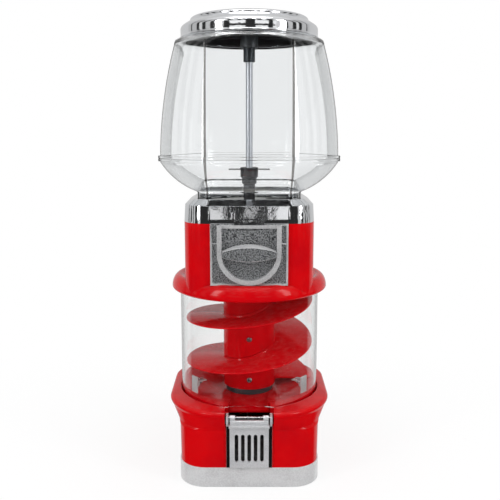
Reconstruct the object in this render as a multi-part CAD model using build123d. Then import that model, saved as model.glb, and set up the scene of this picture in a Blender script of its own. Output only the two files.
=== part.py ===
from build123d import *
import math
import os

os.makedirs("parts", exist_ok=True)

# Frame: millimetres, +Z up, the coin mechanism faces -Y, origin at the middle of the foot's underside.

# Clearances and fits
running = 0.06          # radial gap of a turning shaft in its bore
rod_gap = 0.44          # radial gap round the centre rod in the fixed castings
slip = 0.5              # sideways gap of parts that drop into each other
seat_gap = 0.3          # gap between curved or moving neighbours

# Centre rod that clamps the whole stack together
rod_radius = 4.76
rod_thread_below = 13.0
rod_hole = rod_radius + rod_gap

# Foot skirt, a bare casting
skirt_half = 99.3
skirt_corner = 38.0
skirt_height = 29.5
skirt_wall = 4.5
skirt_web = 4.0

# Lower housing with the flared rim
housing_wall = 3.5
housing_straight = 50.5     # height of the straight wall above the skirt
flare_half = 117.5
flare_corner = 64.0
flare_rise = 17.0           # height of the curved run from wall to flare
flare_height = 16.0         # height of the flare's upright band
bevel_height = 4.6
rim_depth = 13.0            # depth of the round socket that takes the cylinder
ledge = 4.0
ledge_width = 10.4          # the ring that carries the bowl and the cylinder
socket_gap = 1.4            # between the cylinder and the rim round it
rim_land = 4.0              # flat top of the rim outside the cylinder
waist_height = 0.62         # the flare's waist as a share of its rise
waist_width = 0.42          # and as a share of its width
notch_half = 33.5           # half width of the notch in the front of the rim
notch_depth = 23.3          # how far the notch reaches in from the front wall

# Clear cylinder
cylinder_radius = 101.0
cylinder_wall = 3.0
cylinder_height = 175.0
arch_half = 44.0            # cylinder's arched lower edge above the chute
arch_rise = 12.5

# Bowl floor that gathers the gumballs
floor_flange = 4.0
bowl_eye = 38.0             # radius of the flat middle that the spiral stands on
bowl_eye_height = 3.7       # height of that flat above the flange's top
bowl_front = 8.0            # height of the bowl's rim above the flange, at the front
bowl_back = 26.0            # and at the back
bowl_rim = 2.0              # width of the bowl's rim
trough_half = 26.5
trough_wall = 2.5
trough_start = 33.0
trough_overlap = 0.7        # the trough's lip past the back wall of the chute
trough_drop = 10.0          # fall of the trough from the middle to its mouth

# Gumball chute behind the door
frame_half = 31.8
frame_flange = 2.7
frame_foot = 1.3            # the flange's height above the skirt
frame_height = 61.7
chute_half = 27.5
chute_wall = 2.2
chute_depth = 28.0
ramp_low = 5.0              # height of the ramp's front edge above the flange's foot
ramp_high = 30.0
ear_width = 3.2
ear_rise = 17.5

# Chute door, hinged along its top
door_half = 27.0
door_thick = 3.0
door_gap = 0.5
lip_reach = 6.5
lip_height = 3.0
pin_radius = 1.9
pin_rise = 13.3             # height of the hinge pin above the flange's top
pin_set_in = 2.0            # the pin's middle behind the front of the door's lip
knuckle_radius = 3.6
knuckle_width = 7.0
door_bar = 4.9              # the rolled bar under the hinge
bar_rise = 7.4              # its middle above the flange's top
bar_web = 2.4
slot_count = 5
slot_width = 5.0
slot_pitch = 8.8
slot_low = 10.0
slot_high = 50.0

# Brackets that hold the cylinder to the bowl
bracket_angle = 38.0        # degrees forward of the sides
bracket_width = 13.0
bracket_height = 24.0
bracket_thick = 1.6
bracket_rise = 17.0         # the bracket's foot above the cylinder's
shelf_drop = 8.0            # the shelf below the bracket's top
shelf_reach = 16.0
bracket_bolt_inset = 10.0   # the bolt's middle from the cylinder's wall
bracket_bolt_radius = 1.7
bracket_head_radius = 3.6
bracket_head_height = 2.0
bracket_bolt_length = 6.0

# Spiral of two moulded turns on a hollow core
core_radius = 38.2
core_wall = 2.5
flight_radius = 93.5
flight_thick = 2.5
pitch = 64.5                # fall of one turn
wander = 9.0                # extra fall over the front half turn, given back over the back half
first_turn_inset = 27.0          # first turn's top edge below the canopy's underside
seam_rise = 4.5             # core seam above the flight
seam_gap = 0.3
foot_ring_radius = 35.0
foot_ring_height = 8.9
core_screw_radius = 4.0
core_screw_hole = 1.6
upper_screw_height = 88.4   # above the cylinder's foot
lower_screw_height = 27.4

# Canopy ring, the domed red lip over the cylinder
canopy_wall = 3.0
canopy_radius = 114.1
canopy_tube = 12.8
canopy_lip_angle = 65.0
drop_hole_right = 64.0
drop_hole_front = 6.0

# Body shell round the coin mechanism
body_half = 91.0
body_corner = 38.0
body_height = 85.0
body_wall = 3.0
body_lip = 6.0
mech_opening_half = 46.0
mech_opening_height = 74.0

# Chrome collar
collar_rise = 23.5
collar_slope = 7.5
collar_wall = 3.0
neck_seat_rise = 25.0       # ledge that the globe stands on, above the collar's foot
neck_ledge = 0.8            # width of that ledge at the middle of each side
neck_land = 5.0             # the collar's slope stops this far outside the neck
neck_corner = 24.0
recess_half = 52.0
recess_depth = 2.6
recess_low = 5.3
recess_high = 23.0
rib_place = 19.0
rib_width = 2.4
tab_drop = 0.7              # how far the middle tab reaches below the collar's foot
tab_reach = 6.4
tab_thick = 2.0

# Hopper plate, gumball wheel and the drop to the spiral
hopper_wall = 3.0
hopper_floor_drop = 15.3    # wheel floor below the body's top
hopper_channel = 8.2        # channel for the gear teeth below the wheel floor
wheel_margin = 22.0         # between the wheel's rim and the body's sides
wheel_thick = 25.5
pocket_count = 3
pocket_radius = 13.9
pocket_circle = 41.5
drop_radius = 14.6
tube_wall = 2.0

# Guard over the pocket that empties
guard_inner = 30.0
guard_overhang = 8.5        # the guard's foot outside the wheel
guard_rise = 7.1            # the guard above the wheel's top
guard_thick = 1.6
guard_angle = 26.0
guard_post = 6.0

# Gear pair between the handle and the wheel
gear_setback = 28.0         # the gears' mesh behind the body's front
drive_teeth = 12
wheel_teeth = 36
gear_width = 8.0
tooth_height = 2.2
tooth_root = 2.6
crown_rim = 4.8             # the ring above the roots of the wheel's teeth
tooth_slack = 0.12          # share of the tooth pitch left free
tooth_end_gap = 0.7         # how far the wheel's teeth run past the drive gear's faces

# Agitator on the wheel's hub
hub_lower_radius = 8.3
hub_upper_radius = 10.6
hub_flange_radius = 12.7
hub_step = 33.7             # heights above the wheel's top
hub_shoulder = 42.2
hub_top = 55.6
wire_radius = 1.0
wire_reach = 29.6
wire_drop = 2.4

# Clear globe: square with round corners, in two halves
crease = 59.0               # half width of the flat faces
globe_wall = 2.5
neck_half = 70.6
neck_height = 15.0
globe_split = 60.4          # parting plane above the neck's seat
globe_flange = 3.85
globe_flange_half = 124.0
globe_belly_half = 121.0
bowl_swell = 12.0           # a point of the bowl's round, in from the belly and above the neck's seat
bowl_swell_level = 39.9
globe_side_half = 112.8
globe_side_height = 151.7
globe_shoulder_half = 99.8
globe_shoulder_height = 210.0
globe_top_radius = 92.0
globe_height = 236.0
shoulder_drop = 13.0        # foot of the round neck below the globe's top edge

# Lid with its lock
lid_radius = 97.6
lid_wall = 2.0
lid_skirt = 12.0            # how far the lid's rim reaches below the globe's top edge
lid_crown = 30.0            # lid's top above the globe's top edge
lock_radius = 12.4
lock_drop = 24.3            # lock body's foot below the globe's top edge
lock_plug_radius = 8.0
spindle_radius = 3.2
spindle_reach = 8.0         # how far the lock's spindle reaches into the coupling
coupling_radius = 8.2
coupling_height = 19.0
coupling_socket = 6.4       # radius of the coupling's socket for the lock's spindle
key_slot_length = 7.0
key_slot_width = 2.2

# Coin mechanism
plate_half = 52.2
plate_thick = 2.5
plate_border = 2.6
plate_rise = 1.8            # plate's foot above the canopy
plate_height = 83.9
border_reach = 1.6
shaft_rise = 46.2           # handle axis above the canopy
bezel_outer = 43.0
bezel_inner = 36.8
bezel_reach = 8.0
bezel_bar = 4.6
bezel_drop = 1.7            # top of the bezel below the plate's top
bar_reach = 3.4
panel_reach = 0.8           # raised panel over the handle
panel_rise = 14.6
panel_bump = 3.0
coin_slot_length = 26.0
coin_slot_width = 3.0
stem_radius = 11.0
handle_half = 36.0
handle_base_height = 25.0
handle_face_height = 18.5
handle_reach = 12.0
handle_end = 7.0
shaft_radius = 4.0
shaft_seat = 7.0            # depth of the shaft's seat in the grip
coin_wheel_radius = 30.0
coin_wheel_thick = 6.0
coin_wheel_gap = 4.0
coin_radius = 12.3
ratchet_teeth = 12
ratchet_tip = 18.0
ratchet_depth = 3.0
ratchet_thick = 3.0
back_plate_half = 41.0
back_plate_low = -34.0
back_plate_high = 10.5
back_plate_thick = 3.0
post_radius = 3.2
post_places = ((-36.0, 5.0), (36.0, 5.0), (-36.0, -28.0), (36.0, -28.0))
mech_depth = 18.0           # from the shell's face to the back plate
shaft_nut = 11.0
shaft_nut_thick = 5.0
pawl_place = (26.0, 3.0)
pawl_pin_radius = 1.8
pawl_radius = 3.8
pawl_thick = 2.6
pawl_nose = ((18.3, -28.9), (15.5, -27.3), (16.4, -20.0), (19.2, -18.0))   # radius and angle, in the teeth
pawl_lift = 12.5            # degrees that the pawl is swung out of the teeth

# Nut and washer under the foot
nut_flats = 14.3
nut_height = 8.0
washer_radius = 12.0
washer_thick = 2.0

# Levels of the stack, from the foot up
skirt_top = skirt_height
housing_flare = skirt_top + housing_straight + flare_rise
housing_rim = housing_flare + flare_height + bevel_height
ledge_top = housing_rim - rim_depth
cylinder_foot = ledge_top + floor_flange
canopy_seat = cylinder_foot + cylinder_height
body_floor = canopy_seat + canopy_wall
body_top = body_floor + body_height
neck_seat = body_top + neck_seat_rise
split_level = neck_seat + globe_split
globe_top_level = neck_seat + globe_height
eye_level = cylinder_foot + bowl_eye_height
wheel_floor = body_top - hopper_floor_drop
wheel_top = wheel_floor + seat_gap + wheel_thick
wheel_radius = body_half - wheel_margin
axis_level = body_floor + shaft_rise
shell_face = body_half
drop_hole_place = (drop_hole_right, -drop_hole_front)
flange_foot = skirt_top + frame_foot
flange_top = flange_foot + frame_height
front_face = skirt_half + frame_flange
pin_level = flange_top + pin_rise
pin_depth = front_face + lip_reach - pin_set_in
trough_end = skirt_half - chute_depth + trough_overlap
lock_foot = globe_top_level - lock_drop
rod_top = lock_foot - spindle_reach - 1.0
plate_foot = body_floor + plate_rise
plate_top = plate_foot + plate_height
plate_front = -shell_face - plate_thick
bezel_top = plate_top - bezel_drop
grip_back = plate_front - bar_reach - seat_gap
coin_wheel_face = -shell_face + coin_wheel_gap
back_plate_face = -shell_face + mech_depth
back_plate_back = back_plate_face + back_plate_thick
gear_circle = body_half - gear_setback
gear_module = 2 * gear_circle / wheel_teeth
gear_middle = -gear_circle
wheel_spigot = gear_circle - gear_width / 2 - 1.0
guard_outer = wheel_radius + guard_overhang
gear_face = gear_middle - gear_width / 2
gear_back = gear_middle + gear_width / 2
mesh_level = axis_level + gear_module * drive_teeth / 2
crown_root = mesh_level + tooth_root
crown_tip = mesh_level - tooth_height
crown_top = crown_root + crown_rim
pawl_face = coin_wheel_face + coin_wheel_thick + 0.2


def rounded_block(half, corner, low, high):
    """A square column with round corners, between two levels."""
    return extrude(Pos(0, 0, low) * RectangleRounded(2 * half, 2 * half, corner), high - low)


def column(radius, low, high, place=(0, 0)):
    """A round column between two levels."""
    return Pos(place[0], place[1], (low + high) / 2) * Cylinder(radius, high - low)


def tube(outer, inner, low, high, place=(0, 0)):
    """A round tube between two levels."""
    return column(outer, low, high, place) - column(inner, low - 1, high + 1, place)


def block(x0, x1, y0, y1, z0, z1):
    """A box from its six faces."""
    return Pos((x0 + x1) / 2, (y0 + y1) / 2, (z0 + z1) / 2) * Box(x1 - x0, y1 - y0, z1 - z0)


def turned(points):
    """A solid of revolution about Z from the corners of its half section."""
    return revolve(Plane.XZ * make_face(Polyline(*points, close=True)), Axis.Z)


def front_plane(y):
    """A sketch plane that faces the front, X to the right and Z up."""
    return Plane.XZ.offset(-y)


def bar_x(radius, x0, x1, y, z):
    """A round bar along X."""
    return Pos((x0 + x1) / 2, y, z) * Rot(0, 90, 0) * Cylinder(radius, x1 - x0)


def bar_y(radius, y0, y1, x, z):
    """A round bar along Y."""
    return Pos(x, (y0 + y1) / 2, z) * Rot(90, 0, 0) * Cylinder(radius, y1 - y0)


def prism_y(sketch, y0, y1):
    """A sketch with X across and Z up, pushed from y1 forward to y0."""
    return extrude(front_plane(y1) * sketch, y1 - y0)


# Foot skirt

def make_base_skirt():
    skirt = rounded_block(skirt_half, skirt_corner, 0, skirt_height)
    skirt = chamfer(skirt.faces().sort_by(Axis.Z)[0].edges(), 1.2)
    skirt -= rounded_block(skirt_half - skirt_wall, skirt_corner - skirt_wall, -1, skirt_height - skirt_web)
    for x in (-1, 1):
        for y in (-1, 1):
            skirt += column(7.0, skirt_height - 16, skirt_height - 1, (x * 68, y * 68))
    skirt += column(washer_radius + 4, skirt_height - skirt_web - 3, skirt_height - 1)
    return skirt - column(rod_hole, -1, skirt_height + 1)


def make_rod_nut():
    top = skirt_height - skirt_web - 3 - washer_thick
    hexagon = RegularPolygon(nut_flats / 2, 6, major_radius=False)
    nut = extrude(Pos(0, 0, top - nut_height) * hexagon, nut_height)
    return nut - column(rod_radius, top - nut_height - 1, top + 1)


def make_rod_washer():
    top = skirt_height - skirt_web - 3
    return tube(washer_radius, rod_radius + 0.3, top - washer_thick, top)


# Lower housing

def flare_sketch(half, corner, level):
    return Pos(0, 0, level) * RectangleRounded(2 * half, 2 * half, corner)


def make_lower_housing():
    straight_top = skirt_top + housing_straight
    wall = rounded_block(skirt_half, skirt_corner, skirt_top, straight_top)
    waist_half = skirt_half + waist_width * (flare_half - skirt_half)
    waist_corner = skirt_corner + waist_width * (flare_corner - skirt_corner)
    flare = loft([
        flare_sketch(skirt_half, skirt_corner, straight_top),
        flare_sketch(waist_half, waist_corner, straight_top + flare_rise * waist_height),
        flare_sketch(flare_half, flare_corner, housing_flare),
    ])
    band = rounded_block(flare_half, flare_corner, housing_flare, housing_flare + flare_height)
    bevel = loft([
        flare_sketch(flare_half, flare_corner, housing_flare + flare_height),
        flare_sketch(cylinder_radius + rim_land, cylinder_radius + rim_land - 0.1, housing_rim),
    ])
    housing = wall + flare + band + bevel
    inside = skirt_half - housing_wall
    housing -= rounded_block(inside, skirt_corner - housing_wall, skirt_top - 1, ledge_top - ledge)
    housing -= rounded_block(flare_half - housing_wall, flare_corner - housing_wall,
                             housing_flare, ledge_top - ledge)
    socket = cylinder_radius + socket_gap
    housing -= column(socket - ledge_width, ledge_top - ledge - 1, ledge_top + 1)
    housing -= column(socket, ledge_top, housing_rim + 1)
    notch_back = -skirt_half + notch_depth
    housing -= block(-notch_half, notch_half, -flare_half - 1, notch_back, flange_top, housing_rim + 1)
    opening = chute_half + chute_wall + slip
    housing -= block(-opening, opening, -flare_half - 1, notch_back, flange_foot + 1.5, flange_top + 1)
    face = block(-notch_half, notch_half, -flare_half - 1, -skirt_half, skirt_top + 1, flange_top + 1)
    return housing - face


# Bowl floor with its trough

def bowl_hollow():
    """The funnel's hollow, from the flat eye to a rim that climbs to the back, and all above it."""
    radius = cylinder_radius - cylinder_wall - seat_gap - bowl_rim
    tilt = math.degrees(math.atan2(bowl_back - bowl_front, 2 * radius))
    stretch = radius / math.cos(math.radians(tilt))
    rim_plane = Pos(0, 0, cylinder_foot + (bowl_front + bowl_back) / 2) * Rot(tilt, 0, 0)
    eye = Pos(0, 0, eye_level) * Circle(bowl_eye)
    funnel = loft([eye, rim_plane * Ellipse(radius, stretch)], ruled=True)
    reach = 2 * cylinder_radius
    return funnel + rim_plane * block(-reach, reach, -reach, reach, 0, reach)


def make_bowl_floor():
    inside = cylinder_radius - cylinder_wall - seat_gap
    bowl = column(cylinder_radius + 1.0, ledge_top, cylinder_foot)
    bowl += column(inside, cylinder_foot - 1, cylinder_foot + bowl_back + 1)
    bowl -= bowl_hollow()
    mouth = trough_half + trough_wall
    low = eye_level - trough_drop
    trough = block(-mouth, mouth, -trough_end, -trough_start, low - trough_wall, ledge_top + 1)
    outside = cylinder_radius + 2
    above = cylinder_foot + bowl_back + 2
    fall = trough_drop * (outside - trough_end) / (trough_end - trough_start)
    channel = Plane.YZ * make_face(Polyline(
        (-trough_start + 2, eye_level), (-trough_end, low), (-outside, low - fall),
        (-outside, above), (-trough_start + 2, above), close=True))
    channel = extrude(channel, trough_half, both=True)
    bowl = bowl + trough - channel
    bowl -= block(-mouth, mouth, -outside, -trough_end, ledge_top - 1, above)
    hinge = -pin_depth + knuckle_radius + slip
    bowl -= block(-notch_half, notch_half, hinge - pin_depth, hinge, ledge_top - 1, cylinder_foot)
    hollow = turned([(bowl_eye - 2, ledge_top - 1), (inside - 9, ledge_top - 1),
                     (inside - 9, cylinder_foot + bowl_front - 5), (bowl_eye - 2, eye_level - 4)])
    hollow -= block(-mouth, mouth, -cylinder_radius, -trough_start + 4, 0, housing_rim)
    bowl -= hollow
    return bowl - column(rod_hole, 0, housing_rim)


# Chute and door

def make_chute_frame():
    back = skirt_half - chute_depth
    flange = block(-frame_half, frame_half, -front_face, -skirt_half, flange_foot, flange_top)
    outer = chute_half + chute_wall
    box = block(-outer, outer, -skirt_half, -back, flange_foot + 2, flange_top)
    frame = flange + box
    shaft = block(-chute_half, chute_half, -front_face - 1, -back - chute_wall,
                  flange_foot + ramp_low, flange_top + 1)
    frame -= shaft
    ramp = Plane.YZ * make_face(Polyline(
        (-front_face + 0.5, flange_foot + ramp_low), (-back - chute_wall, flange_foot + ramp_high),
        (-back - chute_wall, flange_foot + ramp_low - 1), (-front_face + 0.5, flange_foot + ramp_low - 1),
        close=True))
    frame += extrude(ramp, chute_half, both=True)
    for side in (-1, 1):
        inner = side * (frame_half - ear_width)
        outer = side * frame_half
        ear = Plane.YZ * make_face(Polyline(
            (-skirt_half, flange_top - 1), (-front_face, flange_top - 1), (-pin_depth - 4, pin_level - 4),
            (-pin_depth - 4, pin_level + 3.5), (-skirt_half, flange_top + ear_rise), close=True))
        ear = Pos(inner, 0, 0) * extrude(ear, outer - inner)
        frame += ear
    return frame - bar_x(pin_radius, -frame_half - 1, frame_half + 1, -pin_depth, pin_level)


def make_door_pin():
    return bar_x(pin_radius, -frame_half, frame_half, -pin_depth, pin_level)


def make_chute_door():
    back = -front_face - door_gap
    plate = block(-door_half, door_half, back - door_thick, back, flange_foot + 1.5, flange_top)
    lip_half = frame_half - ear_width - door_gap
    lip = block(-lip_half, lip_half, back - lip_reach, back, flange_top - 1, flange_top + lip_height - 1)
    door = plate + lip
    slots = Sketch()
    for index in range(slot_count):
        x = (index - (slot_count - 1) / 2) * slot_pitch
        middle = (slot_low + slot_high) / 2
        slots += Pos(x, middle) * SlotOverall(slot_high - slot_low, slot_width, rotation=90)
    door -= Pos(0, 0, flange_foot) * prism_y(slots, back - door_thick - 1, back + 1)
    bar_level = flange_top + bar_rise
    bar_face = -pin_depth
    bar_half = door_half - door_gap
    door += block(-bar_half, bar_half, bar_face - bar_web / 2, bar_face + bar_web / 2,
                  flange_top + lip_height - 1.5, bar_level + door_bar / 2)
    door += bar_x(door_bar / 2, -bar_half, bar_half, bar_face, bar_level)
    for side in (-1, 1):
        near = side * bar_half
        far = near - side * knuckle_width
        low, high = min(near, far), max(near, far)
        door += bar_x(knuckle_radius, low, high, -pin_depth, pin_level)
    hole = bar_x(pin_radius + running, -door_half - 1, door_half + 1, -pin_depth, pin_level)
    return door - hole


# Cylinder and its brackets

def make_cylinder():
    shell = tube(cylinder_radius, cylinder_radius - cylinder_wall, cylinder_foot, canopy_seat)
    arch_radius = (arch_half ** 2 + arch_rise ** 2) / (2 * arch_rise)
    level = cylinder_foot + arch_rise - arch_radius
    arch = bar_y(arch_radius, -cylinder_radius - 5, -cylinder_radius / 2, 0, level)
    return shell - arch


def bracket_places():
    return -bracket_angle, bracket_angle - 180


def make_cylinder_brackets():
    wall = cylinder_radius - cylinder_wall - seat_gap
    foot = cylinder_foot + bracket_rise
    top = foot + bracket_height
    shelf_level = top - shelf_drop
    shapes = []
    for angle in bracket_places():
        leg = tube(wall, wall - bracket_thick, foot, foot + bracket_height)
        leg &= block(0, wall + 5, -bracket_width / 2, bracket_width / 2, foot, top)
        shelf = block(wall - shelf_reach, wall - bracket_thick / 2, -bracket_width / 2, bracket_width / 2,
                      shelf_level, shelf_level + bracket_thick)
        gusset = extrude(Plane.XZ * make_face(Polyline(
            (wall - shelf_reach, shelf_level), (wall - bracket_thick / 2, shelf_level),
            (wall - bracket_thick / 2, foot + bracket_thick), close=True)), bracket_thick / 2, both=True)
        bracket = leg + shelf + gusset
        bracket -= column(bracket_bolt_radius, foot, top, (wall - bracket_bolt_inset, 0))
        shapes.append(Rot(0, 0, angle) * bracket)
    return shapes


def make_bracket_screws():
    wall = cylinder_radius - cylinder_wall - seat_gap
    level = cylinder_foot + bracket_rise + bracket_height - shelf_drop + bracket_thick
    place = (wall - bracket_bolt_inset, 0)
    shapes = []
    for angle in bracket_places():
        head = column(bracket_head_radius, level, level + bracket_head_height, place)
        head = fillet(head.faces().sort_by(Axis.Z)[-1].edges(), 0.6 * bracket_head_height)
        screw = head + column(bracket_bolt_radius - running, level - bracket_bolt_length, level, place)
        shapes.append(Rot(0, 0, angle) * screw)
    return shapes


# Spiral

def flight_level(turn):
    """Top of the flight at so many turns down from the start."""
    start = canopy_seat - first_turn_inset
    return start - pitch * turn - wander * math.sin(2 * math.pi * turn)


def radial_plane(turn):
    """An upright plane through the axis, X outwards, after so many turns clockwise."""
    angle = -2 * math.pi * turn
    out = (math.cos(angle), math.sin(angle), 0)
    side = (math.sin(angle), -math.cos(angle), 0)
    return Plane(origin=(0, 0, 0), x_dir=out, z_dir=side)


def winding(start, inner, outer, low, high, steps=16):
    """A band that winds down one turn about the axis; low and high give its edges at a turn."""
    sections = []
    for step in range(steps + 1):
        turn = start + step / steps
        corners = [(inner, low(turn)), (outer, low(turn)), (outer, high(turn)), (inner, high(turn))]
        sections.append(radial_plane(turn) * make_face(Polyline(*corners, close=True)))
    return loft(sections)


def seam_level(turn):
    """Where one moulding's core meets the next."""
    return flight_level(turn) + seam_rise


def core_tube(low, high):
    return tube(core_radius, core_radius - core_wall, low, high)


def core_band(start, low, high):
    """A winding band that takes in the whole thickness of the core's wall."""
    return winding(start, core_radius - 3 * core_wall, core_radius + 3 * core_wall, low, high)


def flight(start):
    """One turn of the sheet that the gumballs roll down, let into the core's wall."""
    return winding(start, core_radius - core_wall / 2, flight_radius,
                   lambda turn: flight_level(turn) - flight_thick, flight_level)


def screw_hole(level):
    return bar_y(core_screw_hole, -core_radius - 5, -core_radius + core_wall + 2, 0, level)


def make_spiral_top():
    turns_above = core_band(0, lambda turn: seam_level(turn + 1) + 2 * seam_gap,
                            lambda turn: seam_level(turn) + seam_gap)
    return core_tube(seam_level(1) + 2 * seam_gap, canopy_seat) - turns_above


def make_spiral_upper():
    band = core_band(0, lambda turn: seam_level(turn + 1) + seam_gap, seam_level)
    core = core_tube(seam_level(2), seam_level(0)) & band
    return core + flight(0) - screw_hole(cylinder_foot + upper_screw_height)


def make_spiral_lower():
    turns_above = core_band(1, seam_level, lambda turn: seam_level(turn - 1) - seam_gap)
    core = core_tube(eye_level + foot_ring_height, seam_level(1) - seam_gap) - turns_above
    return core + flight(1) - screw_hole(cylinder_foot + lower_screw_height)


def make_foot_ring():
    ring = column(foot_ring_radius, eye_level, eye_level + foot_ring_height)
    ring += tube(core_radius - core_wall - seat_gap, foot_ring_radius - 5,
                 eye_level + foot_ring_height - 1, eye_level + foot_ring_height + 4)
    ring -= column(foot_ring_radius - 5, eye_level + 4, eye_level + foot_ring_height + 5)
    return ring - column(rod_hole, eye_level - 1, eye_level + 5)


def make_spiral_screws():
    shapes = []
    for height in (upper_screw_height, lower_screw_height):
        level = cylinder_foot + height
        head = bar_y(core_screw_radius, -core_radius - 2.6, -core_radius - 0.1, 0, level)
        head = fillet(head.faces().sort_by(Axis.Y)[0].edges(), 1.4)
        shank = bar_y(core_screw_hole - running, -core_radius - 1, -core_radius + core_wall + 1, 0, level)
        shapes.append(head + shank)
    return shapes


# Canopy ring

def lip_arc(radius, centre, angles):
    """Three points of the lip's round, at the given angles in degrees."""
    return [(centre[0] + radius * math.cos(math.radians(a)), centre[1] + radius * math.sin(math.radians(a)))
            for a in angles]


def canopy_outline(inner_edge):
    """Outside of the canopy as a half section, from the lip's foot over the round to the flat top."""
    centre = (canopy_radius - canopy_tube, body_floor - canopy_tube)
    foot, side, top = lip_arc(canopy_tube, centre, (-canopy_lip_angle, 12, 90))
    return foot, side, top, (inner_edge, body_floor)


def make_canopy_ring():
    centre = (canopy_radius - canopy_tube, body_floor - canopy_tube)
    foot, side, top, eye = canopy_outline(rod_hole)
    inner_foot, inner_side, inner_top = lip_arc(canopy_tube - canopy_wall, centre, (-canopy_lip_angle, 12, 90))
    section = make_face([
        ThreePointArc(foot, side, top),
        Line(top, eye),
        Line(eye, (rod_hole, canopy_seat)),
        Line((rod_hole, canopy_seat), inner_top),
        ThreePointArc(inner_top, inner_side, inner_foot),
        Line(inner_foot, foot),
    ])
    ring = revolve(Plane.XZ * section, Axis.Z)
    spigot = cylinder_radius - cylinder_wall - seat_gap
    ring += tube(spigot, spigot - canopy_wall, canopy_seat - 8, canopy_seat + 1)
    ring += tube(core_radius - core_wall - seat_gap, core_radius - 2 * core_wall - seat_gap,
                 canopy_seat - 6, canopy_seat + 1)
    return ring - column(drop_radius, canopy_seat - 1, body_floor + 1, drop_hole_place)


# Body shell

def canopy_under_body():
    """Everything below the canopy's outside, to trim the body's foot."""
    foot, side, top, eye = canopy_outline(0)
    section = make_face([
        ThreePointArc(foot, side, top),
        Line(top, eye),
        Line(eye, (0, foot[1])),
        Line((0, foot[1]), foot),
    ])
    return revolve(Plane.XZ * section, Axis.Z)


def make_body_shell():
    shell = rounded_block(body_half, body_corner, body_floor - canopy_tube, body_top)
    shell -= rounded_block(body_half - body_wall, body_corner - body_wall,
                           body_floor - canopy_tube - 1, body_top - body_wall)
    inner = body_half - body_wall - body_lip
    shell -= rounded_block(inner, body_corner - body_wall - body_lip, body_top - body_wall - 1, body_top + 1)
    shell -= canopy_under_body()
    low = axis_level - mech_opening_height / 2
    return shell - block(-mech_opening_half, mech_opening_half, -body_half - 1, -body_half + body_wall + 1,
                         low, low + mech_opening_height)


# Collar

def make_collar():
    top_half = body_half - 1.6
    skirt = loft([
        Pos(0, 0, body_top) * RectangleRounded(2 * body_half, 2 * body_half, body_corner),
        Pos(0, 0, body_top + collar_rise) * RectangleRounded(2 * top_half, 2 * top_half, body_corner - 1.6),
    ])
    neck = neck_half + neck_land
    slope = loft([
        Pos(0, 0, body_top + collar_rise) * RectangleRounded(2 * top_half, 2 * top_half, body_corner - 1.6),
        Pos(0, 0, body_top + collar_rise + collar_slope) * RectangleRounded(2 * neck, 2 * neck, neck_corner),
    ])
    collar = skirt + slope
    inner = body_half - collar_wall
    collar -= rounded_block(inner - 1.0, body_corner - collar_wall, body_top - 1, neck_seat - collar_wall)
    collar -= rounded_block(inner, body_corner - collar_wall, body_top - 1, body_top + hopper_wall)
    collar -= column(neck_half - neck_ledge, body_top, neck_seat + 30)
    collar -= globe_solid(neck_sections(slip, 2 * collar_rise), neck_seat)
    face = -body_half - 1
    panel = block(-recess_half, recess_half, face, -body_half + recess_depth,
                  body_top + recess_low, body_top + recess_high)
    backing = recess_half + collar_wall
    collar += block(-backing, backing, -body_half + 0.4, -body_half + recess_depth + collar_wall,
                    body_top + hopper_wall + seat_gap, body_top + recess_high + 0.4)
    collar -= panel
    for x in (-rib_place, rib_place):
        collar += block(x - rib_width / 2, x + rib_width / 2, -body_half - 0.6, -body_half + recess_depth + 1,
                        body_top + recess_low - 1, body_top + recess_high + 0.2)
    tab_half = rib_place + rib_width / 2
    tab_front = -body_half - tab_reach
    tab_top = body_top + recess_low
    tab = block(-tab_half, tab_half, tab_front, -body_half + recess_depth, body_top + 2.6, tab_top)
    tab += block(-tab_half, tab_half, tab_front, tab_front + tab_thick, body_top - tab_drop, tab_top)
    return collar + tab


# Hopper, wheel and drop tube

def make_hopper_plate():
    wall_out = wheel_radius + 1.0 + hopper_wall
    channel_floor = wheel_floor - hopper_channel
    inner = wheel_spigot - 0.8
    section = [
        (rod_hole, wheel_floor), (inner, wheel_floor), (inner, channel_floor), (wheel_radius + 1.0, channel_floor),
        (wheel_radius + 1.0, body_top + hopper_wall), (wall_out, body_top + hopper_wall),
        (wall_out, channel_floor - hopper_wall), (inner - hopper_wall, channel_floor - hopper_wall),
        (inner - hopper_wall, wheel_floor - hopper_wall), (rod_hole, wheel_floor - hopper_wall),
    ]
    flange_half = body_half - collar_wall - slip
    flange = rounded_block(flange_half, body_corner - collar_wall - slip, body_top, body_top + hopper_wall)
    plate = turned(section) + (flange - column(wheel_radius + 2.0, body_top - 1, body_top + hopper_wall + 1))
    spout = column(drop_radius + tube_wall, channel_floor - hopper_wall, wheel_floor, (pocket_circle, 0))
    plate += spout - tube(wheel_radius, inner, channel_floor, wheel_floor + 1)
    slot_half = 19.8
    plate -= block(-slot_half, slot_half, gear_face - 1.2, gear_back + 1.2,
                   channel_floor - hopper_wall - 1, wheel_floor + 1)
    return plate - column(drop_radius, channel_floor - hopper_wall - 1, wheel_floor + 1, (pocket_circle, 0))


def make_drop_tube():
    high = wheel_floor - hopper_channel - hopper_wall
    low = body_floor
    top = Pos(pocket_circle, 0, high)
    foot = Pos(drop_hole_place[0], drop_hole_place[1], low)
    outer = loft([foot * Circle(drop_radius + tube_wall), top * Circle(drop_radius + tube_wall)], ruled=True)
    inner = loft([foot * Circle(drop_radius), top * Circle(drop_radius)], ruled=True)
    collar = column(drop_radius + tube_wall + 3, body_floor, body_floor + 2.5, drop_hole_place)
    return outer + collar - inner


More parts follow.
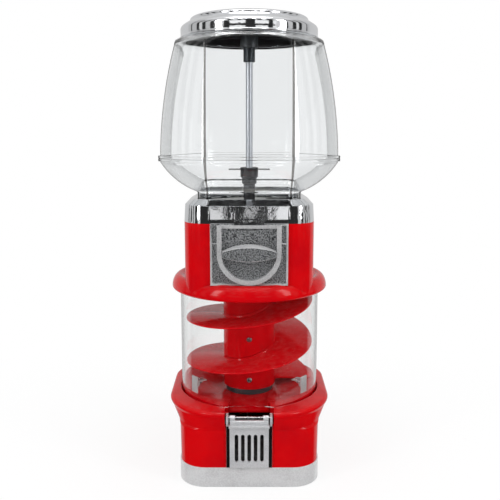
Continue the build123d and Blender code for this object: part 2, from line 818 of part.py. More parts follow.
def make_gumball_wheel():
    low = wheel_floor + seat_gap
    section = [
        (rod_radius + running, low), (wheel_spigot - seat_gap - 1.3, low),
        (wheel_spigot - seat_gap - 1.3, crown_top), (wheel_radius, crown_top),
        (wheel_radius, wheel_top), (rod_radius + running, wheel_top),
    ]
    wheel = turned(section)
    for spot in PolarLocations(pocket_circle, pocket_count):
        wheel -= spot * column(pocket_radius, low - 1, wheel_top + 1)
    return wheel


def make_wheel_gear():
    inner = gear_circle - gear_width / 2 - tooth_end_gap
    outer = gear_circle + gear_width / 2 + tooth_end_gap
    ring = tube(outer, inner, crown_root, crown_top)
    width = gear_module * math.pi * (0.5 - tooth_slack)
    base = crown_root + 0.5
    profile = make_face(Polyline(
        (-width * 0.66, base), (width * 0.66, base), (width * 0.34, crown_tip), (-width * 0.34, crown_tip),
        close=True))
    tooth = extrude(Plane.XZ * profile, outer - inner)
    step = 360 / wheel_teeth
    for index in range(wheel_teeth):
        angle = (index + 0.5) * step
        ring += Rot(0, 0, angle) * Pos(0, -inner, 0) * tooth
    return ring & tube(outer, inner, crown_tip - 1, crown_top + 1)


def make_agitator_hub():
    step, shoulder, top = wheel_top + hub_step, wheel_top + hub_shoulder, wheel_top + hub_top
    hub = turned([
        (rod_radius + running, wheel_top), (hub_lower_radius, wheel_top), (hub_lower_radius, step - 1),
        (hub_upper_radius, step + 1), (hub_upper_radius, shoulder - 1), (hub_flange_radius, shoulder + 1),
        (hub_flange_radius, top), (rod_radius + running, top),
    ])
    return hub - bar_x(wire_radius, -wire_reach, wire_reach, 0, top - wire_drop)


def make_agitator_wires():
    level = wheel_top + hub_top - wire_drop
    right = bar_x(wire_radius, rod_radius + 0.4, wire_reach, 0, level)
    return [right, mirror(right, Plane.YZ)]


def make_ball_guard():
    low = wheel_top + guard_rise
    high = low + guard_thick
    arm = tube(guard_outer, guard_inner, low, high)
    reach = 2 * guard_outer
    spread = reach * math.tan(math.radians(guard_angle))
    wedge = make_face(Polyline((0, 0), (reach, spread), (reach, -spread), close=True))
    arm &= extrude(Pos(0, 0, low - 1) * wedge, guard_thick + 2)
    foot = body_top + hopper_wall
    post = block(guard_outer - guard_post, guard_outer - 0.5, -2 * guard_post, 2 * guard_post, foot, high)
    return arm + post


# Globe

def swell(half):
    """Radius of the round corners where the flat faces stand at this half width."""
    return math.sqrt(half ** 2 + crease ** 2)


def flat(half):
    """Half width of a flat face, unchanged."""
    return half


def section_face(start, moves):
    """A half section closed along the axis, from its lowest outer corner up through lines and arcs."""
    edges = [Line((0, start[1]), start)]
    here = start
    for move in moves:
        if len(move) == 2:
            edges.append(Line(here, move))
            here = move
        else:
            edges.append(ThreePointArc(here, move[1], move[2]))
            here = move[2]
    edges.append(Line(here, (0, here[1])))
    edges.append(Line((0, here[1]), (0, start[1])))
    return make_face(edges)


def globe_solid(sections, base):
    """A round body of the second section, cut to four flat faces by the first."""
    flat_section, round_section = sections
    body = Pos(0, 0, base) * revolve(Plane.XZ * round_section, Axis.Z)
    slab = flat_section + mirror(flat_section, Plane.YZ)
    reach = 2 * globe_flange_half
    body &= Pos(0, 0, base) * extrude(Plane.XZ * slab, reach, both=True)
    return body & (Pos(0, 0, base) * extrude(Plane.YZ * slab, reach, both=True))


def neck_sections(grow, height):
    """Flat and round sections of the globe's neck."""
    return [section_face((shape(neck_half) + grow, 0), [(shape(neck_half) + grow, height)])
            for shape in (flat, swell)]


def bowl_sections(inset):
    """Flat and round sections of the lower globe, inset by the wall for its hollow."""
    low = -5 if inset else 0
    top = globe_split + 5 if inset else globe_split
    faces = []
    for shape in (flat, swell):
        neck = shape(neck_half) - inset
        knee = (shape(neck_half + 7.5) - inset, neck_height + 3 + inset)
        middle = (shape(globe_belly_half - bowl_swell) - inset, bowl_swell_level + inset * 0.6)
        belly = (shape(globe_belly_half) - inset, globe_split - globe_flange - 1.5)
        faces.append(section_face((neck, low), [
            (neck, neck_height + inset), knee, ("arc", middle, belly), (belly[0], top)]))
    return faces


def dome_sections(inset):
    """Flat and round sections of the upper globe, inset by the wall for its hollow."""
    low = globe_split - 5 if inset else globe_split
    top = globe_height + 5 if inset else globe_height
    neck_foot = globe_height - shoulder_drop
    faces = []
    for shape, neck in ((flat, globe_top_radius + 0.5), (swell, globe_top_radius)):
        belly = (shape(globe_belly_half) - inset, globe_split + 10)
        side = (shape(globe_side_half) - inset, globe_side_height)
        shoulder = (shape(globe_shoulder_half) - inset, globe_shoulder_height)
        rim = (neck - inset, neck_foot - inset)
        over = ((rim[0] + 2 * shoulder[0]) / 3 + 1.2, shoulder[1] + (rim[1] - shoulder[1]) * 0.66)
        faces.append(section_face((belly[0], low), [
            belly, ("arc", side, shoulder), ("arc", over, rim), (rim[0], top)]))
    return faces


def globe_lip(low, high):
    """The flat lip round the parting plane."""
    sections = [section_face((shape(globe_flange_half), 0), [(shape(globe_flange_half), high - low)])
                for shape in (flat, swell)]
    return globe_solid(sections, low)


def make_globe_bowl():
    bowl = globe_solid(bowl_sections(0), neck_seat) + globe_lip(split_level - globe_flange, split_level)
    return bowl - globe_solid(bowl_sections(globe_wall), neck_seat)


def make_globe_dome():
    dome = globe_solid(dome_sections(0), neck_seat) + globe_lip(split_level, split_level + globe_flange)
    return dome - globe_solid(dome_sections(globe_wall), neck_seat)


# Rod, coupling, lid and lock

def make_center_rod():
    rod = column(rod_radius, skirt_height - skirt_web - rod_thread_below, rod_top)
    return chamfer(rod.edges().filter_by(GeomType.CIRCLE), 0.8)


def make_rod_coupling():
    low = lock_foot - coupling_height
    sleeve = column(coupling_radius, low, lock_foot)
    sleeve = chamfer(sleeve.faces().sort_by(Axis.Z)[0].edges(), 1.0)
    sleeve -= column(coupling_socket, rod_top, lock_foot + 1)
    return sleeve - column(rod_radius, low - 1, rod_top + 1)


def lid_outline(inset):
    """The lid's half section: inside or outside as radius and height above the globe's top edge."""
    steps = [
        (lid_radius - 1.6, -lid_skirt), (lid_radius, 4 - lid_skirt), (lid_radius, 1.0), (lid_radius - 2.0, 4.5),
        (lid_radius - 6.5, 9.0), (lid_radius - 11.8, 12.0), (lid_radius - 14.4, 13.0), (lid_radius - 14.4, 14.2),
        (lid_radius - 15.6, 16.5), (lid_radius - 19.8, 19.8), (lid_radius - 27.9, 23.0),
        (lid_radius - 43.0, 26.0), (lid_radius - 66.0, 28.6), (0, lid_crown),
    ]
    return [(max(r - 1.2 * inset, 0), globe_top_level + h - (inset if h > 1 else 0)) for r, h in steps]


def make_lid():
    lid = turned(lid_outline(0) + lid_outline(lid_wall)[::-1])
    return lid - column(lock_plug_radius + 1.4, lock_foot, globe_top_level + 2 * lid_crown)


def make_lock_body():
    top = globe_top_level + lid_crown - lid_wall
    low = lock_foot + seat_gap
    body = column(lock_radius, low, top - 0.8)
    sleeve = column(lock_plug_radius + 1.4, top - 2, top + lid_wall + 0.8)
    body += sleeve
    body -= column(lock_plug_radius + running, low + 10, top + 20)
    body -= column(spindle_radius + running, low - 1, low + 11)
    return body - column(coupling_radius + 1, low - 1, low + 6)


def make_lock_plug():
    top = globe_top_level + lid_crown + 0.6
    plug = column(lock_plug_radius, lock_foot + 10 + 2 * seat_gap, top)
    plug += column(spindle_radius, lock_foot - spindle_reach, lock_foot + 11)
    half_length, half_width = key_slot_length / 2, key_slot_width / 2
    return plug - block(-half_length, half_length, -half_width, half_width, top - 6, top + 1)


# Coin mechanism

def bezel_sketch(half):
    """The frame's outline: upright sides that end in a half round under the handle."""
    upright = Pos(0, (axis_level + bezel_top) / 2) * Rectangle(2 * half, bezel_top - axis_level)
    round_end = Circle(half) & Pos(0, -half / 2) * Rectangle(2 * half, half)
    return upright + Pos(0, axis_level) * round_end


def make_mech_faceplate():
    plate = block(-plate_half, plate_half, plate_front, -shell_face, plate_foot, plate_top)
    border = block(-plate_half, plate_half, plate_front - border_reach, plate_front, plate_foot, plate_top)
    inside = plate_half - plate_border
    border -= block(-inside, inside, plate_front - 2 * border_reach, plate_front,
                    plate_foot + plate_border, plate_top - plate_border)
    rim = prism_y(bezel_sketch(bezel_outer) - bezel_sketch(bezel_inner), plate_front - bezel_reach, plate_front)
    bar = block(-bezel_outer, bezel_outer, plate_front - bar_reach, plate_front,
                bezel_top - bezel_bar, bezel_top)
    panel = block(-bezel_inner, bezel_inner, plate_front - panel_reach, plate_front,
                  axis_level + panel_rise, bezel_top)
    panel += bar_y(panel_bump, plate_front - panel_reach, plate_front, 0, axis_level + panel_rise)
    shape = plate + border + rim + bar + panel
    for left, right in ((-plate_half, -bezel_outer), (bezel_outer, plate_half)):
        shape += block(left, right, plate_front - border_reach, plate_front, axis_level + 11.5, axis_level + 13)
    slot_top = bezel_top - bezel_bar - 1.6
    shape -= block(-coin_slot_length / 2, coin_slot_length / 2, plate_front - 4, -shell_face + 1,
                   slot_top - coin_slot_width, slot_top)
    return shape - bar_y(shaft_radius + running, plate_front - 5, -shell_face + 5, 0, axis_level)


def handle_sketch(height):
    """The grip's lens with blunt ends."""
    end = handle_end / 2
    return Pos(0, axis_level) * make_face([
        ThreePointArc((-handle_half, end), (0, height / 2), (handle_half, end)),
        Line((handle_half, end), (handle_half, -end)),
        ThreePointArc((handle_half, -end), (0, -height / 2), (-handle_half, -end)),
        Line((-handle_half, -end), (-handle_half, end)),
    ])


def make_mech_handle():
    stem = bar_y(stem_radius, grip_back - 1, plate_front - seat_gap, 0, axis_level)
    base = front_plane(grip_back) * handle_sketch(handle_base_height)
    face = front_plane(grip_back - handle_reach) * handle_sketch(handle_face_height)
    grip = stem + loft([base, face], ruled=True)
    return grip - bar_y(shaft_radius, grip_back - shaft_seat, plate_front, 0, axis_level)


def make_mech_shaft():
    return bar_y(shaft_radius, grip_back - shaft_seat, gear_back + shaft_nut_thick + 1.5, 0, axis_level)


def ratchet_point(radius, degrees):
    """A point of the ratchet's outline about the handle's axis."""
    angle = math.radians(degrees)
    return radius * math.cos(angle), radius * math.sin(angle)


def make_coin_wheel():
    back = coin_wheel_face + coin_wheel_thick
    wheel = bar_y(coin_wheel_radius, coin_wheel_face, back, 0, axis_level)
    wheel -= bar_y(coin_radius, coin_wheel_face - 1, back - 1.8, 0,
                   axis_level + coin_wheel_radius - coin_radius * 0.55)
    step = 360 / ratchet_teeth
    outline = []
    for index in range(ratchet_teeth):
        outline.append(ratchet_point(ratchet_tip, index * step))
        outline.append(ratchet_point(ratchet_tip - ratchet_depth, (index + 0.06) * step))
    ratchet = prism_y(make_face(Polyline(*outline, close=True)), back, back + ratchet_thick)
    ratchet = Pos(0, 0, axis_level) * ratchet
    return wheel + ratchet - bar_y(shaft_radius, coin_wheel_face - 1, back + ratchet_thick + 1, 0, axis_level)


def make_mech_backplate():
    outline = RectangleRounded(2 * back_plate_half, back_plate_high - back_plate_low, 4)
    plate = prism_y(Pos(0, axis_level + (back_plate_high + back_plate_low) / 2) * outline,
                    back_plate_face, back_plate_back)
    for x, z in post_places:
        plate += bar_y(post_radius, -shell_face, back_plate_face + 1, x, axis_level + z)
        plate -= bar_y(1.6, back_plate_face - 6, back_plate_face + 5, x, axis_level + z)
    plate += bar_y(shaft_radius + 4, back_plate_face - 3, back_plate_face + 1, 0, axis_level)
    return plate - bar_y(shaft_radius + running, back_plate_face - 5, back_plate_face + 5, 0, axis_level)


def make_drive_gear():
    pitch_radius = gear_module * drive_teeth / 2
    tip = pitch_radius + tooth_height
    root = pitch_radius - tooth_root
    step = 360 / drive_teeth
    share = 0.5 - tooth_slack
    outline = []
    for index in range(drive_teeth):
        middle = 90 + index * step
        outline.append(ratchet_point(root, middle - step * 0.66 * share - 1))
        outline.append(ratchet_point(tip, middle - step * 0.30 * share))
        outline.append(ratchet_point(tip, middle + step * 0.30 * share))
        outline.append(ratchet_point(root, middle + step * 0.66 * share + 1))
    gear = Pos(0, 0, axis_level) * prism_y(make_face(Polyline(*outline, close=True)), gear_face, gear_back)
    gear += bar_y(shaft_radius + 5, back_plate_back + seat_gap, gear_face + 1, 0, axis_level)
    return gear - bar_y(shaft_radius, back_plate_back, gear_back + 1, 0, axis_level)


def make_shaft_nut():
    nut = prism_y(Pos(0, axis_level) * RegularPolygon(shaft_nut / 2, 6, major_radius=False),
                  gear_back, gear_back + shaft_nut_thick)
    return nut - bar_y(shaft_radius, gear_back - 1, gear_back + shaft_nut_thick + 1, 0, axis_level)


def make_mech_screws():
    screws = []
    for x, z in post_places:
        head = bar_y(3.0, back_plate_back, back_plate_back + 1.8, x, axis_level + z)
        screws.append(head + bar_y(1.55, back_plate_face - 4, back_plate_back + 1, x, axis_level + z))
    return screws


def make_pawl_pin():
    x, z = pawl_place
    return bar_y(pawl_pin_radius, pawl_face, back_plate_face, x, axis_level + z)


def make_ratchet_pawl():
    x, z = pawl_place
    nose = [ratchet_point(radius, angle) for radius, angle in pawl_nose]
    shoulder = (pawl_radius * 0.7, pawl_radius * 0.6)
    root = [(x - shoulder[0], z + shoulder[1]), (x + shoulder[0], z - shoulder[1])]
    arm = make_face(Polyline(*nose, *root, close=True)) + Pos(x, z) * Circle(pawl_radius)
    pawl = Pos(0, 0, axis_level) * prism_y(arm, pawl_face, pawl_face + pawl_thick)
    pawl -= bar_y(pawl_pin_radius + running, pawl_face - 1, pawl_face + pawl_thick + 1, x, axis_level + z)
    return pawl.rotate(Axis((x, 0, axis_level + z), (0, -1, 0)), pawl_lift)


makers = {
    "base_skirt": make_base_skirt,
    "rod_nut": make_rod_nut,
    "rod_washer": make_rod_washer,
    "center_rod": make_center_rod,
    "lower_housing": make_lower_housing,
    "bowl_floor": make_bowl_floor,
    "chute_frame": make_chute_frame,
    "door_pin": make_door_pin,
    "chute_door": make_chute_door,
    "cylinder": make_cylinder,
    "cylinder_brackets": make_cylinder_brackets,
    "bracket_screws": make_bracket_screws,
    "spiral_foot": make_foot_ring,
    "spiral_lower": make_spiral_lower,
    "spiral_upper": make_spiral_upper,
    "spiral_top": make_spiral_top,
    "spiral_screws": make_spiral_screws,
    "canopy_ring": make_canopy_ring,
    "body_shell": make_body_shell,
    "collar": make_collar,
    "hopper_plate": make_hopper_plate,
    "drop_tube": make_drop_tube,
    "gumball_wheel": make_gumball_wheel,
    "wheel_gear": make_wheel_gear,
    "agitator_hub": make_agitator_hub,
    "agitator_wires": make_agitator_wires,
    "ball_guard": make_ball_guard,
    "globe_bowl": make_globe_bowl,
    "globe_dome": make_globe_dome,
    "rod_coupling": make_rod_coupling,
    "lid": make_lid,
    "lock_body": make_lock_body,
    "lock_plug": make_lock_plug,
    "mech_faceplate": make_mech_faceplate,
    "mech_handle": make_mech_handle,
    "mech_shaft": make_mech_shaft,
    "coin_wheel": make_coin_wheel,
    "mech_backplate": make_mech_backplate,
    "drive_gear": make_drive_gear,
    "shaft_nut": make_shaft_nut,
    "mech_screws": make_mech_screws,
    "pawl_pin": make_pawl_pin,
    "ratchet_pawl": make_ratchet_pawl,
}


def save(name, shape):
    """Write one node, a single solid or a group of separate ones."""
    if isinstance(shape, list):
        shape = Compound(children=[piece.solids()[0] for piece in shape])
    export_step(shape, f"parts/{name}.step")


for name, maker in makers.items():
    save(name, maker())
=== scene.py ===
"""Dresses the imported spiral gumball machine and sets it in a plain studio.

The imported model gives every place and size. Each sub-assembly is a class that builds its
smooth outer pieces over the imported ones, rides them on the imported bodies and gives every
piece its finish. Lengths in the classes are in millimetres.
"""

from __future__ import annotations

import logging
import math
from dataclasses import dataclass
from enum import Enum
from typing import Callable, Iterable, Sequence

import bmesh
import bpy
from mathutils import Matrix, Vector


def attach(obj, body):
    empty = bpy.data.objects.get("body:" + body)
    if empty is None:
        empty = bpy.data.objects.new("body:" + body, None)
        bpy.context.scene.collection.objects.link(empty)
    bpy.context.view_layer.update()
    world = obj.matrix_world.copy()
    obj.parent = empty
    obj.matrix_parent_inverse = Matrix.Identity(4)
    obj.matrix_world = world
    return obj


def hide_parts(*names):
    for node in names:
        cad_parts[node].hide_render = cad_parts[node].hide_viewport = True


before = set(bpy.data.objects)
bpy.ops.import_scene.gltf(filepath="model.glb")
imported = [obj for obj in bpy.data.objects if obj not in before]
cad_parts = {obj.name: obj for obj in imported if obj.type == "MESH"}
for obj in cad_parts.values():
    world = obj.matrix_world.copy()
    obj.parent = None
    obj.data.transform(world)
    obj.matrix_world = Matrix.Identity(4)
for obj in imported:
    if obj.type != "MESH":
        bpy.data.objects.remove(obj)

log = logging.getLogger("gumball_machine")

MM = 0.001

# Packed corners closer than this, in metres, are joined
WELD = 2e-6

# Packed faces that turn less than this from one to the next, in degrees, become one
FLAT_ENOUGH = 0.6

Point = tuple[float, float]
Place = tuple[float, float, float]
Colour = tuple[float, float, float]
Ring = list[Place]


class Body(Enum):
    """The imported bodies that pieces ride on."""

    FRAME = "frame"
    HANDLE = "handle"
    WHEEL = "wheel"
    LID = "lid"
    LOCK = "lock"
    DOOR = "door"


class Nodes:
    """Lays out the shader nodes of one tree."""

    def __init__(self, tree: bpy.types.NodeTree) -> None:
        """Keeps the tree and clears it."""
        self.tree = tree
        tree.nodes.clear()

    def add(self, kind: str, **settings: object) -> bpy.types.Node:
        """Adds a node.

        Args:
            kind: The node's type name, without its "ShaderNode" start.
            **settings: Attributes of the node to set.

        Returns:
            The new node.
        """
        node = self.tree.nodes.new("ShaderNode" + kind)
        for key, value in settings.items():
            setattr(node, key, value)
        return node

    def feed(self, socket: bpy.types.NodeSocket, value: object) -> None:
        """Links or sets an input.

        Args:
            socket: The input.
            value: An output to link, or a constant.
        """
        if isinstance(value, bpy.types.NodeSocket):
            self.tree.links.new(value, socket)
        else:
            socket.default_value = value

    def place(self) -> bpy.types.NodeSocket:
        """The place on the object, in metres."""
        return self.add("TexCoord").outputs["Object"]

    def stretch(self, scale: Sequence[float]) -> bpy.types.NodeSocket:
        """The place on the object with each axis scaled.

        Args:
            scale: One factor for each axis.

        Returns:
            The scaled place.
        """
        node = self.add("Mapping")
        self.feed(node.inputs["Vector"], self.place())
        node.inputs["Scale"].default_value = scale
        return node.outputs["Vector"]

    def noise(self, place: bpy.types.NodeSocket, scale: object, detail: float = 3.0,
              roughness: float = 0.5) -> bpy.types.NodeSocket:
        """Noise from 0 to 1.

        Args:
            place: Where to read it.
            scale: How fine it is, per metre.
            detail: Number of finer layers.
            roughness: Weight of the finer layers.

        Returns:
            The noise's value.
        """
        node = self.add("TexNoise")
        self.feed(node.inputs["Vector"], place)
        self.feed(node.inputs["Scale"], scale)
        node.inputs["Detail"].default_value = detail
        node.inputs["Roughness"].default_value = roughness
        return node.outputs["Fac"]

    def maths(self, operation: str, *values: object) -> bpy.types.NodeSocket:
        """Arithmetic on one to three values.

        Args:
            operation: The sum's name.
            *values: Outputs or constants.

        Returns:
            The result.
        """
        node = self.add("Math", operation=operation)
        for socket, value in zip(node.inputs, values):
            self.feed(socket, value)
        return node.outputs[0]

    def span(self, value: object, low: float, high: float, to_low: object = 0.0,
             to_high: object = 1.0) -> bpy.types.NodeSocket:
        """Maps one range smoothly to another, held at its ends.

        Args:
            value: What is mapped.
            low: Start of its range.
            high: End of its range.
            to_low: Result at the start.
            to_high: Result at the end.

        Returns:
            The mapped value.
        """
        node = self.add("MapRange", interpolation_type="SMOOTHSTEP")
        for name, given in (("Value", value), ("From Min", low), ("From Max", high),
                            ("To Min", to_low), ("To Max", to_high)):
            self.feed(node.inputs[name], given)
        return node.outputs["Result"]

    def plus(self, start: object, mask: bpy.types.NodeSocket, share: float) -> bpy.types.NodeSocket:
        """A value with a share of a mask added to it.

        Args:
            start: The value.
            mask: The mask, from 0 to 1.
            share: What is added where the mask is 1.

        Returns:
            The sum.
        """
        return self.maths("ADD", start, self.maths("MULTIPLY", mask, share))

    def within(self, value: bpy.types.NodeSocket, low: float, high: float) -> bpy.types.NodeSocket:
        """1 where a value lies between two others and 0 outside.

        Args:
            value: What is tested.
            low: Start of the range.
            high: End of the range.

        Returns:
            1 or 0.
        """
        above = self.maths("GREATER_THAN", value, low)
        return self.maths("MULTIPLY", above, self.maths("LESS_THAN", value, high))

    def tint(self, share: object, first: object, second: object) -> bpy.types.NodeSocket:
        """Lays one colour over another.

        Args:
            share: How much of the second colour shows.
            first: The colour below.
            second: The colour above.

        Returns:
            The colour.
        """
        node = self.add("Mix", data_type="RGBA", blend_type="MIX")
        self.feed(node.inputs[0], share)
        # The node's colour inputs come after those for numbers and vectors
        for socket, colour in zip(node.inputs[6:8], (first, second)):
            self.feed(socket, (*colour, 1.0) if isinstance(colour, tuple) else colour)
        return node.outputs[2]

    def bump(self, height: bpy.types.NodeSocket, strength: float, distance: float) -> bpy.types.NodeSocket:
        """A normal pushed about by a height.

        Args:
            height: The height, from 0 to 1.
            strength: How much of it shows.
            distance: What a height of 1 is, in metres.

        Returns:
            The normal.
        """
        node = self.add("Bump")
        node.inputs["Strength"].default_value = strength
        node.inputs["Distance"].default_value = distance
        self.feed(node.inputs["Height"], height)
        return node.outputs["Normal"]

    def shared(self, group: Effect, **values: object) -> bpy.types.Node:
        """Places a shared effect.

        Args:
            group: The effect.
            **values: Its inputs, with _ for each space in a name.

        Returns:
            The group's node.
        """
        node = self.add("Group", node_tree=group.tree())
        for key, value in values.items():
            self.feed(node.inputs[key.replace("_", " ")], value)
        return node


@dataclass(frozen=True)
class Effect:
    """A shader node group that several finishes share.

    Attributes:
        name: The group's name.
        inputs: Name and starting value of each input.
        outputs: Name of each output.
        lay: Lays out the nodes between them.
    """

    name: str
    inputs: tuple[tuple[str, float], ...]
    outputs: tuple[str, ...]
    lay: Callable[[Nodes, bpy.types.Node], dict[str, bpy.types.NodeSocket]]

    def tree(self) -> bpy.types.NodeTree:
        """Builds the group once.

        Returns:
            The group's tree.
        """
        found = bpy.data.node_groups.get(self.name)
        if found is not None:
            return found
        tree = bpy.data.node_groups.new(self.name, "ShaderNodeTree")
        for name, value in self.inputs:
            socket = tree.interface.new_socket(name, in_out="INPUT", socket_type="NodeSocketFloat")
            socket.default_value = value
        for name in self.outputs:
            tree.interface.new_socket(name, in_out="OUTPUT", socket_type="NodeSocketFloat")
        nodes = Nodes(tree)
        entry = tree.nodes.new("NodeGroupInput")
        leave = tree.nodes.new("NodeGroupOutput")
        for name, value in self.lay(nodes, entry).items():
            tree.links.new(value, leave.inputs[name])
        return tree


def lay_edge_wear(nodes: Nodes, entry: bpy.types.Node) -> dict[str, bpy.types.NodeSocket]:
    """Mask of rubbed edges, broken up by noise.

    Args:
        nodes: The group's nodes.
        entry: Its inputs.

    Returns:
        The outputs by name.
    """
    rounded = nodes.add("Bevel", samples=4)
    nodes.feed(rounded.inputs["Radius"], entry.outputs["Width"])
    true_normal = nodes.add("NewGeometry").outputs["Normal"]
    facing = nodes.add("VectorMath", operation="DOT_PRODUCT")
    nodes.feed(facing.inputs[0], rounded.outputs["Normal"])
    nodes.feed(facing.inputs[1], true_normal)
    edge = nodes.span(facing.outputs["Value"], 0.995, 0.86)
    broken = nodes.noise(nodes.place(), entry.outputs["Scale"], detail=4.0, roughness=0.65)
    worn = nodes.span(broken, 0.38, 0.62)
    return {"Mask": nodes.maths("MULTIPLY", edge, nodes.maths("MULTIPLY", worn, entry.outputs["Amount"]))}


def lay_dust(nodes: Nodes, entry: bpy.types.Node) -> dict[str, bpy.types.NodeSocket]:
    """Mask of fine dust on faces that look up.

    Args:
        nodes: The group's nodes.
        entry: Its inputs.

    Returns:
        The outputs by name.
    """
    split = nodes.add("SeparateXYZ")
    nodes.feed(split.inputs[0], nodes.add("NewGeometry").outputs["Normal"])
    up = nodes.span(split.outputs["Z"], 0.25, 0.95, 0.12, 1.0)
    cloud = nodes.noise(nodes.place(), entry.outputs["Scale"], detail=6.0, roughness=0.62)
    cloud = nodes.span(cloud, 0.35, 0.75)
    return {"Mask": nodes.maths("MULTIPLY", nodes.maths("MULTIPLY", up, cloud), entry.outputs["Amount"])}


def lay_marks(nodes: Nodes, entry: bpy.types.Node) -> dict[str, bpy.types.NodeSocket]:
    """Mask of fine wiping marks in two directions, and of finger smudges.

    Args:
        nodes: The group's nodes.
        entry: Its inputs.

    Returns:
        The outputs by name.
    """
    across = nodes.noise(nodes.stretch((0.06, 0.06, 1.0)), entry.outputs["Scale"], detail=2.0)
    upright = nodes.noise(nodes.stretch((1.0, 1.0, 0.05)), entry.outputs["Scale"], detail=2.0)
    lines = nodes.maths("MAXIMUM", nodes.span(across, 0.62, 0.74), nodes.span(upright, 0.62, 0.74))
    smudge = nodes.span(nodes.noise(nodes.place(), scale=22.0, detail=4.0, roughness=0.6), 0.45, 0.7)
    fine = nodes.maths("MULTIPLY", lines, smudge)
    smudge_share, line_share = 0.45, 0.55
    both = nodes.plus(nodes.maths("MULTIPLY", smudge, smudge_share), fine, line_share)
    return {"Mask": nodes.maths("MULTIPLY", both, entry.outputs["Amount"]), "Lines": fine}


def lay_skin(nodes: Nodes, entry: bpy.types.Node) -> dict[str, bpy.types.NodeSocket]:
    """Height of the faint waves in sprayed paint and moulded plastic.

    Args:
        nodes: The group's nodes.
        entry: Its inputs.

    Returns:
        The outputs by name.
    """
    broad = nodes.noise(nodes.place(), entry.outputs["Wave Scale"], detail=1.0)
    fine = nodes.noise(nodes.place(), entry.outputs["Peel Scale"], detail=2.0)
    share = entry.outputs["Peel"]
    kept = nodes.maths("MULTIPLY", broad, nodes.maths("SUBTRACT", 1.0, share))
    return {"Height": nodes.maths("ADD", kept, nodes.maths("MULTIPLY", fine, share))}


def lay_cast(nodes: Nodes, entry: bpy.types.Node) -> dict[str, bpy.types.NodeSocket]:
    """Height and shade of a cast, shot-blasted skin with its pits.

    Args:
        nodes: The group's nodes.
        entry: Its inputs.

    Returns:
        The outputs by name.
    """
    scale = entry.outputs["Scale"]
    sand = nodes.noise(nodes.place(), scale, detail=2.0, roughness=0.7)
    cells = nodes.add("TexVoronoi", feature="F1")
    nodes.feed(cells.inputs["Vector"], nodes.place())
    nodes.feed(cells.inputs["Scale"], nodes.maths("MULTIPLY", scale, 0.8))
    pits = nodes.span(cells.outputs["Distance"], 0.05, 0.42)
    cloud = nodes.noise(nodes.place(), nodes.maths("MULTIPLY", scale, 0.06), detail=5.0, roughness=0.62)
    height = nodes.maths("MULTIPLY", nodes.span(sand, 0.3, 0.7), pits)
    grain = nodes.maths("MULTIPLY", height, entry.outputs["Grain"])
    plain = nodes.maths("MULTIPLY", cloud, nodes.maths("SUBTRACT", 1.0, entry.outputs["Grain"]))
    return {"Height": height, "Shade": nodes.maths("ADD", grain, plain)}


# Effects that several finishes share
EDGE_WEAR = Effect("rubbed_edges", (("Width", 0.001), ("Scale", 180.0), ("Amount", 1.0)),
                   ("Mask",), lay_edge_wear)
DUST = Effect("settled_dust", (("Scale", 60.0), ("Amount", 0.2)), ("Mask",), lay_dust)
MARKS = Effect("wiping_marks", (("Scale", 900.0), ("Amount", 0.3)), ("Mask", "Lines"), lay_marks)
SKIN = Effect("waved_skin", (("Wave Scale", 30.0), ("Peel Scale", 900.0), ("Peel", 0.3)),
              ("Height",), lay_skin)
CAST = Effect("cast_skin", (("Scale", 900.0), ("Grain", 0.6)), ("Height", "Shade"), lay_cast)


@dataclass(frozen=True)
class Finish:
    """A finish that dresses pieces.

    Attributes:
        name: The material's name.
        slot: Name of the material slot that it stands for; not used in this script.
        colour: Its main colour.
        roughness: Its main roughness.
    """

    name: str
    slot: str
    colour: Colour
    roughness: float

    def material(self) -> bpy.types.Material:
        """Builds the material once.

        Returns:
            The material.
        """
        found = bpy.data.materials.get(self.name)
        if found is not None:
            return found
        material = bpy.data.materials.new(self.name)
        material.use_nodes = True
        nodes = Nodes(material.node_tree)
        surface = nodes.add("BsdfPrincipled")
        nodes.feed(surface.inputs["Base Color"], (*self.colour, 1.0))
        nodes.feed(surface.inputs["Roughness"], self.roughness)
        self.shade(nodes, surface)
        leave = nodes.add("OutputMaterial")
        nodes.feed(leave.inputs["Surface"], surface.outputs[0])
        return material

    def shade(self, nodes: Nodes, surface: bpy.types.Node) -> None:
        """Lays out what this finish adds; a plain finish adds nothing."""

    def darker(self, share: float) -> Colour:
        """The main colour with each part multiplied by a share."""
        return tuple(share * part for part in self.colour)


